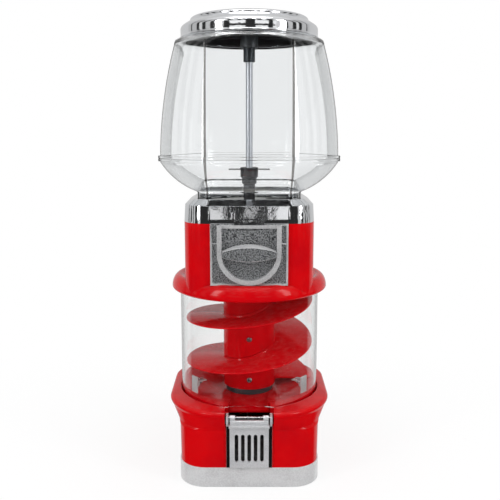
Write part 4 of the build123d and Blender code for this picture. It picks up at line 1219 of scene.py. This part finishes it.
@dataclass
class BallRun(Assembly):
    """Clear cylinder with the red spiral inside.

    Attributes:
        radius: Outside of the cylinder.
        wall: Thickness of the cylinder.
        foot: Level of the cylinder's foot.
        top: Level of the cylinder's top.
        core: Outside of the spiral's core.
        core_wall: Thickness of the core.
        reach: Radius of the flights.
        sheet: Thickness of the flights.
        start: Level of the flight's top where it starts.
        pitch: Fall of one turn.
        wander: Extra fall over the front half turn.
        seam: Core's seam above the flight.
        gap: Half the gap between two mouldings.
        fillet: Radius of the rounds where the flight meets the core.
        core_foot: Level of the core's foot.
        arch_radius: Radius of the arch over the chute.
        arch_rise: Height of the arch above the cylinder's foot.
    """

    radius: float = 101.0
    wall: float = 3.0
    foot: float = 108.6
    top: float = 283.6
    core: float = 38.2
    core_wall: float = 2.5
    reach: float = 93.5
    sheet: float = 2.5
    start: float = 256.6
    pitch: float = 64.5
    wander: float = 9.0
    seam: float = 4.5
    gap: float = 0.3
    fillet: float = 3.0
    core_foot: float = 121.2
    arch_radius: float = 131.0
    arch_rise: float = 11.9

    def finishes(self) -> dict[str, Finish]:
        """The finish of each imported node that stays."""
        return {"bracket_screws": BRIGHT_STEEL, "spiral_screws": BRIGHT_STEEL}

    def build(self) -> None:
        """Builds the cylinder, the spiral's three mouldings, their ring and the brackets."""
        super().build()
        hand_over(self.cylinder(), Body.FRAME, CLEAR_TUBE, "cylinder", sharp=40.0)
        for name, node, start, low, high, flight in (
                ("upper_spiral", "spiral_upper", 0, lambda turn: self.seam_level(turn + 1) + self.gap,
                 self.seam_level, True),
                ("lower_spiral", "spiral_lower", 1, lambda turn: self.core_foot,
                 lambda turn: self.seam_level(turn) - self.gap, True),
                ("spiral_cap", "spiral_top", 0, lambda turn: self.seam_level(turn) + self.gap,
                 lambda turn: self.top, False)):
            hand_over(self.moulding(name, start, low, high, flight), Body.FRAME, SPIRAL_RED, node, sharp=40.0)
        foot_ring = recast("foot_ring", "spiral_foot", width=0.5)
        hand_over(foot_ring, Body.FRAME, SMOKE_GREY, "spiral_foot", sharp=0)
        brackets = recast("angle_brackets", "cylinder_brackets", width=0.3)
        hand_over(brackets, Body.FRAME, BRACKET, "cylinder_brackets", sharp=0)

    def cylinder(self) -> bpy.types.Object:
        """Builds the clear cylinder with the arch over its chute.

        Returns:
            The cylinder.
        """
        inner = self.radius - self.wall
        outline = [(self.radius, self.foot), (self.radius, self.top), (inner, self.top), (inner, self.foot)]
        shell = turned("clear_cylinder", outline, count=192)
        middle = self.foot + self.arch_rise - self.arch_radius
        angles = [2 * math.pi * step / 240 for step in range(240)]
        circle = [(self.arch_radius * math.cos(angle), middle + self.arch_radius * math.sin(angle))
                  for angle in angles]
        inner_end, outer_end = -50.0, -110.0
        arch = skin("arch", [[(x, y, z) for x, z in circle] for y in (inner_end, outer_end)])
        carve(shell, arch)
        return shell

    def level(self, turn: float) -> float:
        """Top of the flight after so many turns."""
        return self.start - self.pitch * turn - self.wander * math.sin(2 * math.pi * turn)

    def seam_level(self, turn: float) -> float:
        """Level of the core's seam after so many turns."""
        return self.level(turn) + self.seam

    def section(self, turn: float, low: float, high: float, flight: bool) -> list[Point]:
        """Cross-section of a moulding, as radius and level.

        Args:
            turn: Turn at which it is cut.
            low: Lower edge of the core there.
            high: Upper edge of the core there.
            flight: Whether the moulding carries a flight.

        Returns:
            The section's corners.
        """
        inner = self.core - self.core_wall
        outline = [(inner, low), (self.core, low)]
        if flight:
            top, under = self.level(turn), self.level(turn) - self.sheet
            root = min(self.fillet, 0.8 * max(under - low, 0.5))
            outline += [
                (self.core, under - root), (self.core + 0.3 * root, under - 0.3 * root),
                (self.core + root, under), (self.reach - 0.9, under), (self.reach - 0.2, under + 0.5),
                (self.reach, (top + under) / 2), (self.reach - 0.2, top - 0.5), (self.reach - 0.9, top),
                (self.core + self.fillet, top), (self.core + 0.9, top + 0.9), (self.core, top + self.fillet),
            ]
        return outline + [(self.core, high), (inner, high)]

    def moulding(self, name: str, start: float, low: Callable[[float], float],
                 high: Callable[[float], float], flight: bool, steps: int = 120) -> bpy.types.Object:
        """Builds one turn of the core, with its flight.

        Args:
            name: The piece's name.
            start: Turn that it starts at.
            low: Lower edge of the core at a turn.
            high: Upper edge of the core at a turn.
            flight: Whether the turn carries a flight.
            steps: Facets round the turn.

        Returns:
            The moulding.
        """
        rings = []
        for step in range(steps + 1):
            turn = start + step / steps
            angle = -2 * math.pi * turn
            section = self.section(turn, low(turn), high(turn), flight)
            rings.append([(radius * math.cos(angle), radius * math.sin(angle), z) for radius, z in section])
        return skin(name, rings)


@dataclass
class MechanismBody(Assembly):
    """Canopy, red body and chrome collar.

    Attributes:
        crest_radius: Radius of the canopy's crest.
        crest: Level of the crest.
        lip_reach: How far the lip stands out from the crest.
        lip_level: Level where the lip is widest.
        lip_under: How far the lip reaches below that level.
        lip_angle: How far the lip turns under, in degrees.
        canopy_wall: Thickness of the canopy.
        floor: Level of the canopy's flat top.
        dish: Radius of that flat top.
        bore: Radius of the hole for the rod.
        spigot: Outside of the spigot under the canopy.
        spigot_bore: Inside of the spigot.
        spigot_depth: How far the spigot reaches down.
        drop: Middle of the hole that the balls drop through.
        drop_radius: Radius of that hole.
        half: Half depth of the body.
        side_half: Half width of the body.
        middle: Half width of the body's middle, which isn't drawn in.
        corner: Radius of its corners.
        top: Level of the body's top.
        wall: Thickness of the body.
        opening_half: Half width of the opening for the coin mechanism.
        opening_foot: Level of that opening's foot.
        opening_top: Level of that opening's top.
    """

    crest_radius: float = 101.3
    crest: float = 289.4
    lip_reach: float = 11.6
    lip_level: float = 272.0
    lip_under: float = 5.2
    lip_angle: float = 65.0
    canopy_wall: float = 3.0
    floor: float = 286.6
    dish: float = 93.0
    bore: float = 5.2
    spigot: float = 97.7
    spigot_bore: float = 94.7
    spigot_depth: float = 8.0
    drop: Point = (64.0, -6.0)
    drop_radius: float = 14.6
    half: float = 91.0
    side_half: float = 89.5
    middle: float = 76.0
    corner: float = 38.0
    top: float = 371.6
    wall: float = 3.0
    opening_half: float = 46.0
    opening_foot: float = 295.8
    opening_top: float = 369.8

    def build(self) -> None:
        """Builds the canopy, the body and the collar."""
        hand_over(self.canopy(), Body.FRAME, RED_COAT, "canopy_ring", sharp=50.0)
        hand_over(self.body(), Body.FRAME, RED_COAT, "body_shell", sharp=0)
        collar = recast("chrome_collar", "collar", width=0.7, angle=20.0)
        draw_in(collar, self.middle, self.half, self.side_half)
        hand_over(collar, Body.FRAME, BRIGHT_CHROME, "collar", sharp=0)

    def lip_arc(self, inset: float, low: float, high: float, steps: int) -> list[Point]:
        """Points of the lip's round.

        Args:
            inset: How deep they lie inside it.
            low: Angle where they start, in degrees.
            high: Angle where they end, in degrees.
            steps: Parts the round is divided into.

        Returns:
            The points, as radius and level.
        """
        points = []
        for step in range(steps + 1):
            angle = math.radians(low + (high - low) * step / steps)
            rise = self.crest - self.lip_level if angle > 0 else self.lip_under
            points.append((self.crest_radius + (self.lip_reach - inset) * math.cos(angle),
                           self.lip_level + max(rise - inset, 0.5) * math.sin(angle)))
        return points

    def canopy(self) -> bpy.types.Object:
        """Builds the domed ring with its spigot and the hole for the balls.

        Returns:
            The canopy.
        """
        under = self.floor - self.canopy_wall
        spigot_foot = under - self.spigot_depth
        outline = self.lip_arc(0.0, -self.lip_angle, 90.0, steps=26)
        outline += [(self.dish + 4.5, self.crest - 0.9), (self.dish + 2.0, self.floor + 0.5),
                    (self.dish, self.floor), (self.bore, self.floor), (self.bore, under),
                    (self.spigot_bore, under), (self.spigot_bore, spigot_foot), (self.spigot, spigot_foot),
                    (self.spigot, under - 0.01), (self.crest_radius, under)]
        outline += self.lip_arc(self.canopy_wall, 48.0, -self.lip_angle, steps=16)
        ring = turned("red_canopy", outline, count=160)
        x0, y0 = self.drop
        below, above = 270.0, 300.0
        circles = [ring_round(self.drop_radius, level, count=48) for level in (below, above)]
        hole = skin("hole", [[(x0 + x, y0 + y, z) for x, y, z in circle] for circle in circles])
        carve(ring, hole)
        return ring

    def foot_level(self, point: Sequence[float]) -> float:
        """Level of the canopy's top under a point of the body's wall."""
        radius = math.hypot(point[0], point[1])
        if radius < self.crest_radius:
            share = held((radius - self.dish) / (self.crest_radius - self.dish))
            return self.floor + (self.crest - self.floor) * share
        past = min((radius - self.crest_radius) / self.lip_reach, 1.0)
        return self.lip_level + (self.crest - self.lip_level) * math.sqrt(1 - past ** 2)

    def body(self) -> bpy.types.Object:
        """Builds the red body, whose foot follows the canopy.

        Returns:
            The body.
        """
        inside, inner_corner = self.half - self.wall, self.corner - self.wall
        mouth = inside - 6.0
        path = softened([
            (self.half, self.corner, self.top - 4), (self.half, self.corner, self.top),
            (mouth, self.corner - 9.0, self.top), (mouth, self.corner - 9.0, self.top - self.wall),
            (inside, inner_corner, self.top - self.wall), (inside, inner_corner, self.top - self.wall - 6),
        ], radius=0.7, steps=3)
        rings = [ring_square(half, corner, level) for half, corner, level in path]
        for half, corner, lift in ((inside, inner_corner, 0.05), (self.half - 0.5, self.corner - 0.5, 0.05),
                                   (self.half, self.corner, 0.5)):
            foot = ring_square(half, corner, 0)
            rings.append([(x, y, self.foot_level((x, y)) + lift) for x, y, _ in foot])
        shell = skin("red_body", rings, wrap=True)
        opening = bar("opening", (-self.opening_half, -100.0, self.opening_foot),
                      (self.opening_half, -self.half + self.wall + 1, self.opening_top))
        carve(shell, opening)
        ease(shell, width=0.4, angle=50.0)
        return draw_in(shell, self.middle, self.half, self.side_half)


@dataclass
class BallWheel(Assembly):
    """Hopper, gumball wheel, agitator and the drop to the spiral."""

    def finishes(self) -> dict[str, Finish]:
        """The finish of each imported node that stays."""
        return {"wheel_gear": WHITE}

    def build(self) -> None:
        """Builds the black and white mouldings round the rod."""
        super().build()
        for name, node, body, finish, width in (
                ("hopper_floor", "hopper_plate", Body.FRAME, BLACK, 0.6),
                ("drop_chute", "drop_tube", Body.FRAME, BLACK, 0.4),
                ("portion_wheel", "gumball_wheel", Body.WHEEL, WHITE, 0.8),
                ("black_hub", "agitator_hub", Body.WHEEL, BLACK, 0.5),
                ("hub_wires", "agitator_wires", Body.WHEEL, BRIGHT_STEEL, 0.2),
                ("pocket_guard", "ball_guard", Body.FRAME, BLACK, 0.4)):
            hand_over(recast(name, node, width), body, finish, node, sharp=0)


@dataclass
class CoinMechanism(Assembly):
    """Cast faceplate, grip and the works behind them.

    Attributes:
        filling_low: Lowest corner of the bar that narrows the coin slot.
        filling_high: Its highest corner.
        ground: Depth behind which the faceplate's front is stippled.
        panel_half: Half width of the raised panel, which is stippled too.
        panel_foot: Level of the panel's foot.
        panel_top: Level of its top.
        squarely: How squarely a face looks forward to be part of the ground.
        grip_front: The same for the front of the grip, which stays rough.
    """

    filling_low: Place = (-13.6, -93.45, 360.7)
    filling_high: Place = (13.6, -91.3, 363.3)
    ground: float = -94.6
    panel_half: float = 36.6
    panel_foot: float = 330.0
    panel_top: float = 365.0
    squarely: float = 0.9
    grip_front: float = 0.97

    def finishes(self) -> dict[str, Finish]:
        """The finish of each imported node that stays."""
        return {
            "mech_shaft": BRIGHT_STEEL, "coin_wheel": WORKS_CAST, "mech_backplate": WORKS_CAST,
            "drive_gear": WORKS_CAST, "shaft_nut": BRIGHT_STEEL, "mech_screws": BRIGHT_STEEL,
            "pawl_pin": BRIGHT_STEEL, "ratchet_pawl": WORKS_CAST,
        }

    def build(self) -> None:
        """Builds the faceplate and the grip."""
        super().build()
        plate = recast("stippled_faceplate", "mech_faceplate", width=0.4)
        carve(plate, bar("filling", self.filling_low, self.filling_high), join=True)
        hand_over(plate, Body.FRAME, PLATE_CAST, "mech_faceplate", sharp=0)
        trim(plate, POLISHED_CAST, self.stands_proud)
        grip = recast("turning_grip", "mech_handle", width=0.8)
        hand_over(grip, Body.HANDLE, GRIP_CAST, "mech_handle", sharp=0)
        trim(grip, POLISHED_CAST, lambda middle, normal: normal.y > -self.grip_front)

    def stands_proud(self, middle: Vector, normal: Vector) -> bool:
        """Whether a face of the faceplate is a polished edge, not the stippled ground."""
        on_panel = abs(middle.x) < self.panel_half and self.panel_foot < middle.z < self.panel_top
        return not (normal.y < -self.squarely and (middle.y > self.ground or on_panel))


@dataclass
class Globe(Assembly):
    """Clear globe in two halves: four flat faces between round corners.

    Attributes:
        seat: Level that the globe stands on.
        crease: Half width of the flat faces.
        wall: Thickness of the globe.
        neck: Half width of the lower neck.
        belly: Half width where it is widest.
        split: Parting plane above the seat.
        lip: Half width of the lip at the parting plane.
        lip_height: Thickness of each half's lip.
        top_radius: Radius of the round neck on top.
        height: Height of the globe.
        soft: How softly the creases turn.
        widest: How far a flat face turns to either side at most, in radians.
        side: Half width and height above the seat of a point halfway up the dome.
        shoulder: Half width and height above the seat of the dome's shoulder.
        bulge: Height above the seat where the dome leaves the belly's width.
        crease_width: Half width of the dark line of painted shade along a crease.
        crease_top: Height above the seat where that line ends.
    """

    seat: float = 396.6
    crease: float = 56.4
    wall: float = 2.5
    neck: float = 70.6
    belly: float = 121.0
    split: float = 60.4
    lip: float = 124.0
    lip_height: float = 3.85
    top_radius: float = 92.0
    height: float = 236.0
    soft: float = 0.35
    widest: float = 0.72
    side: Point = (112.8, 151.7)
    shoulder: Point = (99.8, 210.0)
    bulge: float = 70.4
    crease_width: float = 1.3
    crease_top: float = 212.0

    def build(self) -> None:
        """Builds both halves."""
        for make, node in ((self.bowl, "globe_bowl"), (self.dome, "globe_dome")):
            half = hand_over(make(), Body.FRAME, CLEAR, node, sharp=42.0)
            # A dark line of painted shade runs along the creases beside the flat front face
            trim(half, PAINTED_CREASE_SHADE, self.on_crease)

    def on_crease(self, middle: Vector, normal: Vector) -> bool:
        """Whether a face lies on the outside of a crease beside the flat front face, where a dark line of
        shade is painted.
        """
        outside = normal.x * middle.x + normal.y * middle.y > 0
        beside = -middle.y > abs(middle.x) and abs(abs(middle.x) - self.crease) < self.crease_width
        return outside and beside and middle.z < self.seat + self.crease_top

    def ring(self, flat: float, swell: float, level: float) -> Ring:
        """A level ring of four flat faces between round corners.

        Args:
            flat: Half width across the flat faces.
            swell: Radius of the round corners.
            level: Height above the seat.

        Returns:
            The ring's points.
        """
        turn = min(math.atan2(self.crease, flat), self.widest)
        past = math.pi / 4 - turn
        on_face = (-1.0, -0.8, -0.6, -0.35, -0.15, 0.0, 0.15, 0.35, 0.6, 0.8, 1.0)
        on_corner = (0.04, 0.1, 0.2, 0.4, 0.65, 1.0, 1.35, 1.6, 1.8, 1.9, 1.96)
        by_crease = (turn - 0.03, turn - 0.012)
        local = {turn * share for share in on_face}
        local.update(turn + past * share for share in on_corner)
        local.update(by_crease)
        local.update(-angle for angle in by_crease)
        points: Ring = []
        for spin in range(4):
            for angle in sorted(local):
                apart = abs((angle + math.pi / 4) % (math.pi / 2) - math.pi / 4)
                radius = self.softer(flat / math.cos(apart), swell)
                whole = angle + spin * math.pi / 2
                points.append((radius * math.cos(whole), radius * math.sin(whole), self.seat + level))
        return points

    def softer(self, face: float, swell: float) -> float:
        """The smaller of two radii, with a soft turn where they are alike."""
        if abs(swell - face) >= 20 * self.soft:
            return min(face, swell)
        return -self.soft * math.log(math.exp((swell - face) / self.soft) + 1.0) + swell

    def swell(self, half: float) -> float:
        """Radius of the round corners beside flat faces of a half width."""
        return math.hypot(half, self.crease)

    def rings(self, profile: Iterable[Point]) -> list[Ring]:
        """Rings of a profile of flat half width and height."""
        return [self.ring(half, self.swell(half), level) for half, level in profile]

    def bowl_profile(self, inset: float) -> list[Point]:
        """Lower half's profile, from the seat to the parting plane."""
        neck = self.neck - inset
        knee = (self.neck + 7.5 - inset, 18.0 + inset)
        arc = arc_through(knee, (self.belly - 12 - inset, self.split - 20.5 + inset * 0.6),
                          (self.belly - inset, self.split - self.lip_height - 1.5), steps=18)
        start = softened([(neck, 0.0), (neck, 15.0 + inset), knee, arc[1]], radius=2.2, steps=4)
        return [(point[0], point[1]) for point in start[:-1]] + arc[1:]

    def bowl(self) -> bpy.types.Object:
        """Builds the lower half.

        Returns:
            The lower half.
        """
        outer = self.bowl_profile(0)
        lip_foot = self.split - self.lip_height
        edge = softened([outer[-1], (self.belly, lip_foot), (self.lip, lip_foot), (self.lip, self.split),
                         (self.belly - self.wall, self.split)], radius=0.7, steps=3)
        inner = self.bowl_profile(self.wall)
        profile = outer[:-1] + [(point[0], point[1]) for point in edge] + inner[::-1]
        return skin("clear_bowl", self.rings(profile), wrap=True)

    def dome_arcs(self, inset: float) -> list[Ring]:
        """Upper half's rings, from the parting plane to the round neck's foot."""
        neck_foot = self.height - 13.0 - inset
        lines = []
        for shape, neck in ((lambda half: half, self.top_radius + 0.5), (self.swell, self.top_radius)):
            belly = (shape(self.belly) - inset, self.bulge)
            side = (shape(self.side[0]) - inset, self.side[1])
            shoulder = (shape(self.shoulder[0]) - inset, self.shoulder[1])
            rim = (neck - inset, neck_foot)
            over = ((rim[0] + 2 * shoulder[0]) / 3 + 1.2, shoulder[1] + (rim[1] - shoulder[1]) * 0.66)
            lower = arc_through(belly, side, shoulder, steps=22)
            lines.append(lower + arc_through(shoulder, over, rim, steps=12)[1:])
        flat_line, round_line = lines
        lip_top = self.split + self.lip_height
        rings = [self.ring(self.belly - inset, self.swell(self.belly) - inset, lip_top)]
        for (flat, level), (swell, other) in zip(flat_line, round_line):
            rings.append(self.ring(flat, swell, (level + other) / 2))
        return rings

    def dome(self) -> bpy.types.Object:
        """Builds the upper half.

        Returns:
            The upper half.
        """
        lip_top = self.split + self.lip_height
        base = softened([(self.belly - self.wall, self.split), (self.lip, self.split),
                         (self.lip, lip_top), (self.belly, lip_top)], radius=0.7, steps=3)
        rings = self.rings((point[0], point[1]) for point in base)
        rings += self.dome_arcs(0)[1:]
        outer, inner = self.top_radius, self.top_radius - self.wall
        below_top = self.height - 0.6
        for radius, level in ((outer, below_top), (outer - 0.6, self.height),
                              (inner + 0.6, self.height), (inner, below_top)):
            rings.append(self.ring(radius + 0.5, radius, level))
        return skin("clear_dome", rings + self.dome_arcs(self.wall)[::-1], wrap=True)


@dataclass
class Lid(Assembly):
    """Chrome lid with its lock, and the rod that it locks to.

    Attributes:
        radius: Outside of the lid's rim.
        seat: Level of the globe's top edge.
        wall: Thickness of the lid.
        plug: Radius of the hole for the lock.
        sunk: How far the lock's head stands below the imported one.
        head: Level above which the lock's head starts.
        under_depth: Faces that look down are inside unless they are farther below the seat.
        inner_depth: Faces that look in are inside unless they are farther below the seat.
    """

    radius: float = 96.6
    seat: float = 632.6
    wall: float = 2.0
    plug: float = 9.4
    sunk: float = 2.7
    head: float = 655.0
    under_depth: float = 9.0
    inner_depth: float = 11.0

    def finishes(self) -> dict[str, Finish]:
        """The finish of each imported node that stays."""
        return {"center_rod": ROD}

    def build(self) -> None:
        """Builds the lid and the lock."""
        super().build()
        cover = hand_over(self.cover(), Body.LID, LID_CHROME, "lid", sharp=60.0)
        # The lid's inside is dressed in a dark finish of painted shade
        trim(cover, LID_PAINTED_SHADE, self.is_inside)
        for name, node, body, finish, width in (("lock_barrel", "lock_body", Body.LID, LOCK, 0.5),
                                                ("key_plug", "lock_plug", Body.LOCK, LOCK_FACE, 0.3)):
            piece = recast(name, node, width)
            for vertex in piece.data.vertices:
                if vertex.co.z > self.head * MM:
                    vertex.co.z -= self.sunk * MM
            hand_over(piece, body, finish, node, sharp=0)
        coupling = recast("dark_coupling", "rod_coupling", width=0.5)
        hand_over(coupling, Body.FRAME, DARK_STEEL, "rod_coupling", sharp=0)

    def is_inside(self, middle: Vector, normal: Vector) -> bool:
        """Whether a face is on the lid's inside, which is rougher and darkened with painted shade."""
        looks_down = normal.z < -0.15 and middle.z > self.seat - self.under_depth
        looks_in = normal.x * middle.x + normal.y * middle.y < 0 and middle.z > self.seat - self.inner_depth
        return looks_down or looks_in

    def outline(self) -> list[Point]:
        """The lid's outside, from its rim to its crown."""
        steps = [(1.2, -12.6), (0.0, -11.6), (0.3, -10.4), (1.0, -9.4), (0.8, -4.0), (0.8, 0.6),
                 (2.0, 3.2), (4.8, 5.4), (11.6, 9.6), (13.8, 11.0), (14.3, 12.4), (14.6, 14.2),
                 (17.0, 15.9), (21.6, 17.2), (36.6, 19.6), (56.6, 22.8), (71.6, 25.1), (81.6, 26.5)]
        path = [(self.radius - inset, self.seat + height) for inset, height in steps]
        path.append((self.plug, self.seat + 27.2))
        return [(point[0], point[1]) for point in softened(path, radius=2.2, steps=4)]

    def cover(self) -> bpy.types.Object:
        """Builds the lid as one turned shell.

        Returns:
            The lid.
        """
        outer = self.outline()
        inner = []
        for radius, level in outer:
            lowered = self.wall if level > self.seat + 1 else 0.0
            inner.append((max(radius - 1.2 * self.wall, self.plug), level - lowered))
        return turned("chrome_lid", outer + inner[::-1], count=160)


@dataclass(frozen=True)
class Window:
    """A bright pane in front of the machine for glossy faces to reflect.

    Its edges are parts of a direction of length 1 as seen from the machine.

    Attributes:
        left: Its left edge.
        right: Its right edge.
        low: Its lower edge.
        high: Its upper edge.
        level: How bright it is.
    """

    left: float
    right: float
    low: float
    high: float
    level: float


@dataclass(frozen=True)
class Stripe:
    """A bright upright stripe to both sides of the machine.

    Attributes:
        near: Its edge on the camera's side, as part of a direction of length 1.
        far: Its other edge.
        level: How bright it is.
    """

    near: float
    far: float
    level: float


WINDOWS = (
    # Long and low
    Window(-0.52, -0.11, 0.11, 0.22, 1.0), Window(0.17, 0.52, 0.11, 0.22, 1.0),
    Window(0.62, 0.70, 0.10, 0.22, 0.9),
    # Small, just below the horizon
    Window(-0.085, -0.034, -0.13, -0.10, 0.75), Window(0.030, 0.085, -0.13, -0.095, 0.9),
    Window(-0.006, 0.008, -0.12, -0.10, 0.5),
    # Tall
    Window(-0.22, -0.14, 0.36, 0.66, 0.9), Window(-0.40, -0.30, 0.36, 0.66, 1.0),
    Window(-0.66, -0.54, 0.30, 0.66, 1.0), Window(0.15, 0.22, 0.36, 0.66, 1.0),
    Window(0.33, 0.44, 0.36, 0.66, 1.0), Window(0.58, 0.68, 0.30, 0.66, 0.9),
    # Small and very bright, high up
    Window(-0.24, -0.17, 0.75, 0.81, 7.0), Window(-0.10, -0.05, 0.81, 0.86, 6.0),
    Window(0.07, 0.14, 0.76, 0.81, 7.0), Window(0.19, 0.23, 0.85, 0.90, 5.0),
    Window(0.30, 0.36, 0.70, 0.76, 7.0), Window(-0.42, -0.37, 0.66, 0.72, 7.0),
)

STRIPES = (
    Stripe(-0.75, -0.56, 0.65), Stripe(-0.40, -0.25, 0.55), Stripe(-0.12, -0.02, 0.7),
    Stripe(0.10, 0.30, 0.5), Stripe(0.35, 0.75, 0.5),
)


@dataclass
class Studio:
    """White floor, lit room, soft lamps and the camera at the photograph's place.

    Attributes:
        camera_place: Where the camera stands.
        camera_pitch: How far it looks down, in degrees.
        lens: Its focal length.
        aim: Point that the lamps face, in metres.
        daylight: How bright the light is that falls on dull faces from all round.
        backdrop: How bright the backdrop behind the machine is.
        darkest: How bright the darkest part of the room is.
        beside: How far to the side the stripes start, as part of a direction.
        stripe_foot: Height where they start, as part of a direction.
    """

    camera_place: Place = (1.1, -1016.4, 488.0)
    camera_pitch: float = 9.30
    lens: float = 50.42
    aim: Place = (0.0, 0.0, 0.33)
    daylight: float = 0.74
    backdrop: float = 0.6
    darkest: float = 0.025
    beside: float = 0.66
    stripe_foot: float = -0.128

    def build(self) -> None:
        """Builds the floor, the world, the lamps and the camera."""
        self.floor()
        self.world()
        self.lamp("left_strip", place=(-1.3, -1.1, 1.0), size=(0.3, 1.3), power=9.0)
        self.lamp("right_strip", place=(1.3, -0.9, 1.0), size=(0.3, 1.3), power=8.0)
        self.lamp("overhead", place=(0.0, -0.2, 1.9), size=(1.0, 0.5), power=8.0)
        self.camera()
        log.info("built the studio")

    def floor(self) -> None:
        """Builds a wide white floor that keeps a faint shadow.

        Metal and clear pieces don't show it, so that it doesn't wash them out.
        """
        mesh = bpy.data.meshes.new("floor")
        mesh.from_pydata([(-6, -6, 0), (6, -6, 0), (6, 6, 0), (-6, 6, 0)], [], [(0, 1, 2, 3)])
        floor = bpy.data.objects.new("floor", mesh)
        bpy.context.scene.collection.objects.link(floor)
        material = bpy.data.materials.new("white_floor")
        material.use_nodes = True
        nodes = Nodes(material.node_tree)
        plain = nodes.add("BsdfDiffuse")
        plain.inputs["Color"].default_value = (0.9, 0.9, 0.9, 1.0)
        glow = nodes.add("Emission")
        glow.inputs["Color"].default_value = (1.0, 1.0, 1.0, 1.0)
        mixed = nodes.add("MixShader")
        away = nodes.add("VectorMath", operation="LENGTH")
        nodes.feed(away.inputs[0], nodes.place())
        far = nodes.span(away.outputs["Value"], 0.12, 0.7, to_low=0.8, to_high=1.0)
        seen = nodes.maths("MULTIPLY", nodes.add("LightPath").outputs["Is Camera Ray"], far)
        for socket, value in zip(mixed.inputs, (seen, plain.outputs[0], glow.outputs[0])):
            nodes.feed(socket, value)
        nodes.feed(nodes.add("OutputMaterial").inputs["Surface"], mixed.outputs[0])
        mesh.materials.append(material)
        floor.visible_glossy = False
        floor.visible_transmission = False

    def world(self) -> None:
        """Lights the scene evenly and gives bright metal a room to reflect.

        The camera sees plain white, also through clear pieces. Glossy faces see the room.
        Dull faces are lit by an even pale grey.
        """
        world = bpy.data.worlds.new("studio")
        bpy.context.scene.world = world
        world.use_nodes = True
        nodes = Nodes(world.node_tree)
        path = nodes.add("LightPath")
        # A depth below one half means that light hasn't met such a face on its way
        direct = nodes.maths("LESS_THAN", path.outputs["Diffuse Depth"], 0.5)
        mirrored = nodes.maths("GREATER_THAN", path.outputs["Glossy Depth"], 0.5)
        through = nodes.maths("MULTIPLY", path.outputs["Is Transmission Ray"], direct)
        through = nodes.maths("MULTIPLY", through, nodes.maths("SUBTRACT", 1.0, mirrored))
        seen = nodes.maths("MAXIMUM", path.outputs["Is Camera Ray"], through)
        mirrored = nodes.maths("MULTIPLY", mirrored, direct)
        glossy = nodes.maths("MAXIMUM", path.outputs["Is Glossy Ray"], mirrored)
        light = nodes.tint(glossy, (self.daylight, self.daylight, self.daylight), self.room(nodes))
        light = nodes.tint(seen, light, (1.0, 1.0, 1.0))
        background = nodes.add("Background")
        nodes.feed(background.inputs["Color"], light)
        nodes.feed(nodes.add("OutputWorld").inputs["Surface"], background.outputs[0])

    def room(self, nodes: Nodes) -> bpy.types.NodeSocket:
        """Brightness of the room that glossy faces reflect.

        A grey backdrop is behind the machine, stripes to both sides of it, a pale ceiling over
        it and a dark wall with windows in front of it.

        Args:
            nodes: The world's nodes.

        Returns:
            The brightness in each direction.
        """
        split = nodes.add("SeparateXYZ")
        nodes.feed(split.inputs[0], nodes.add("TexCoord").outputs["Generated"])
        across, depth, height = (split.outputs[axis] for axis in "XYZ")
        room = nodes.span(depth, 0.35, 0.5, to_low=0.0, to_high=self.backdrop)
        beside = nodes.maths("GREATER_THAN", nodes.maths("ABSOLUTE", across), self.beside)
        beside = nodes.maths("MULTIPLY", beside, nodes.maths("GREATER_THAN", height, self.stripe_foot))
        for stripe in STRIPES:
            pane = nodes.maths("MULTIPLY", beside, nodes.within(depth, stripe.near, stripe.far))
            room = nodes.maths("MAXIMUM", room, nodes.maths("MULTIPLY", pane, stripe.level))
        room = nodes.maths("MAXIMUM", room, nodes.span(height, 0.55, 0.85, to_low=0.02, to_high=0.75))
        in_front = nodes.maths("LESS_THAN", depth, 0.0)
        for window in WINDOWS:
            pane = nodes.maths("MULTIPLY", nodes.within(across, window.left, window.right),
                               nodes.within(height, window.low, window.high))
            pane = nodes.maths("MULTIPLY", pane, in_front)
            room = nodes.maths("MAXIMUM", room, nodes.maths("MULTIPLY", pane, window.level))
        return nodes.maths("MAXIMUM", room, self.darkest)

    def lamp(self, name: str, place: Place, size: Point, power: float) -> None:
        """Adds a soft rectangular lamp that points at the machine.

        Args:
            name: The lamp's name.
            place: Where it stands, in metres.
            size: Its width and height, in metres.
            power: Its power, in watts.
        """
        data = bpy.data.lights.new(name, "AREA")
        data.shape = "RECTANGLE"
        data.size, data.size_y = size
        data.energy = power
        lamp = bpy.data.objects.new(name, data)
        lamp.location = place
        aim = Vector(self.aim) - Vector(place)
        lamp.rotation_euler = aim.to_track_quat("-Z", "Y").to_euler()
        bpy.context.scene.collection.objects.link(lamp)

    def camera(self) -> None:
        """Sets the camera at the photograph's viewing angle."""
        data = bpy.data.cameras.new("camera")
        data.lens = self.lens
        data.sensor_width = 36.0
        camera = bpy.data.objects.new("camera", data)
        camera.location = [MM * part for part in self.camera_place]
        camera.rotation_euler = (math.radians(90.0 - self.camera_pitch), 0.0, 0.0)
        bpy.context.scene.collection.objects.link(camera)
        bpy.context.scene.camera = camera


def main() -> None:
    """Builds the studio, then every sub-assembly."""
    logging.basicConfig(level=logging.INFO, format="%(name)s: %(message)s")
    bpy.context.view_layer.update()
    bpy.context.scene.view_settings.view_transform = "Standard"
    Studio().build()
    for assembly in (Foot(), Housing(), Chute(), BallRun(), MechanismBody(), BallWheel(), CoinMechanism(),
                     Globe(), Lid()):
        assembly.build()


if __name__ == "__main__":
    main()
